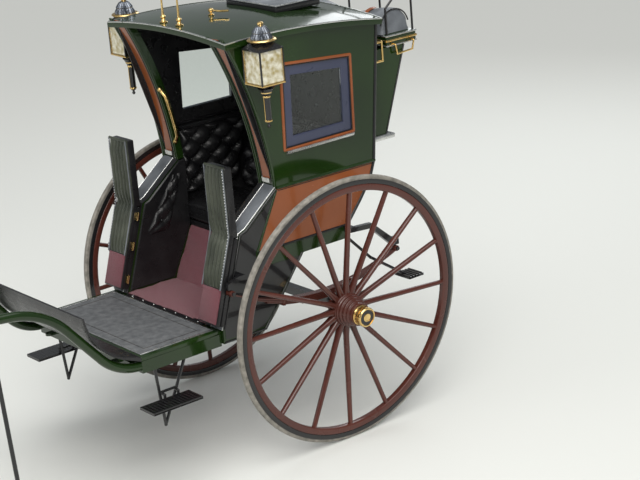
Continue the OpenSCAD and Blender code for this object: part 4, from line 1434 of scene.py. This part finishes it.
def leaf(name, side, reach, trim, width=0.044, thickness=0.0072):
    """One leaf of a spring, following the arc under the one above and rounded at its tips."""
    line = []
    steps = 32
    for k in range(steps + 1):
        angle = angle_rear + trim + (angle_front - angle_rear - 2 * trim) * k / steps
        out = Vector((math.cos(angle), 0, math.sin(angle)))
        line.append((at(spring_centre.x + reach * out.x, side * spring_y,
                spring_centre.y + reach * out.z), out))
    half = width / 2
    piece = swept(name, line, [(0, half - 0.001), (0, -half + 0.001), (0.001, -half),
            (thickness - 0.001, -half),
                               (thickness, -half + 0.001), (thickness, half - 0.001),
                               (thickness - 0.001, half),
                               (0.001, half)])
    return piece


for side, name in ((1, "left"), (-1, "right")):
    leaves = [leaf("leaf", side, spring_radius + 0.008 * n, math.radians(5) * n) for n in range(5)]
    stack = joined("leaf_spring_" + name, leaves)
    settle(stack, maroon, "cab")
    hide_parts("springs")
    for place in (spring_front, spring_rear):
        eye = turned("spring_eye", rounded_outline([(0.006, -0.022), (0.0155, -0.022), (0.0155, 0.022),
                (0.006, 0.022)],
                                                   0.002, 2), 32)
        settle(eye, maroon, "cab", Matrix.Translation(at(place.x, side * spring_y, place.y))
               @ Matrix.Rotation(math.pi / 2, 4, "X"))
        pin = turned("spring_bolt", [(0.0, -0.030), (0.011, -0.030), (0.011, -0.023), (0.0065, -0.023),
                (0.0065, 0.023),
                                     (0.011, 0.023), (0.011, 0.030), (0.0, 0.030)], 6)
        settle(pin, black_enamel, "cab", Matrix.Translation(at(place.x, side * spring_y, place.y))
               @ Matrix.Rotation(math.pi / 2, 4, "X"))
    for share in (0.30, 0.70):
        angle = angle_rear + (angle_front - angle_rear) * share
        out = Vector((math.cos(angle), 0, math.sin(angle)))
        middle_place = at(spring_centre.x + (spring_radius + 0.016) * out.x, side * spring_y,
                          spring_centre.y + (spring_radius + 0.016) * out.z)
        clip = block("spring_clip", (-0.010, -0.0255, -0.020), (0.010, 0.0255, 0.022), 0.003, 2)
        clip.matrix_world = Matrix.Translation(middle_place) @ Matrix.Rotation(-(angle + math.pi / 2), 4, "Y")
        settle(clip, maroon, "cab")
    for x in (-0.030, 0.030):
        nut = turned("clamp_nut", [(0.0, 0.0), (0.010, 0.0), (0.010, 0.009), (0.0, 0.009)], 6)
        for y in (spring_y - 0.030, spring_y + 0.030):
            copy = nut.copy()
            copy.data = nut.data.copy()
            bpy.context.collection.objects.link(copy)
            settle(copy, black_enamel, "cab", Matrix.Translation(at(x, side * y, 0.738)))
        bpy.data.objects.remove(nut)
    front_tread = block("front_tread_" + name, (0.880, 0.480, 0.478), (1.170, 0.605, 0.487), 0.002, 2)
    front_tread.matrix_world = Matrix.Translation(at(0, 0, 0)) @ Matrix.Scale(side, 4, (0, 1, 0))
    settle(front_tread, dark_rubber, "cab")
    ribs = []
    for n in range(14):
        x = 0.892 + n * 0.0205
        rib = block("front_rib", (x, 0.486, 0.4865), (x + 0.009, 0.599, 0.4920), 0.0012, 2)
        rib.matrix_world = Matrix.Translation(at(0, 0, 0)) @ Matrix.Scale(side, 4, (0, 1, 0))
        ribs.append(rib)
    settle(joined("front_ribs_" + name, ribs), dark_rubber, "cab")
    rear_ribs = []
    for n in range(5):
        x = -0.626 + n * 0.021
        rib = block("rear_rib", (x, 0.446, 0.7065), (x + 0.009, 0.554, 0.7115), 0.0012, 2)
        rib.matrix_world = Matrix.Translation(at(0, 0, 0)) @ Matrix.Scale(side, 4, (0, 1, 0))
        rear_ribs.append(rib)
    settle(joined("rear_ribs_" + name, rear_ribs), dark_rubber, "cab")

# ---------------------------------------------------------------------------
# Entry handle. One turned brass grip stands off the right front pillar's inner face
# on two screwed feet, for a passenger climbing in.
# ---------------------------------------------------------------------------
grip_line = []
for k in range(9):
    share = 0.12 + 0.36 * k / 8
    point, out = on_pillar(-0.360, share, share, 1)[0]
    stand = 0.002 if k in (0, 8) else -0.030
    grip_line.append(point - out * 0.006 - Vector((0, stand, 0)))
grip = tube("entry_grip", grip_line, 0.0095, False, 20)
settle(grip, brass, "cab")
for k in (0, 8):
    deselect()
    bpy.ops.mesh.primitive_uv_sphere_add(segments=20, ring_count=10, radius=0.014, location=grip_line[k])
    settle(bpy.context.object, brass, "cab")
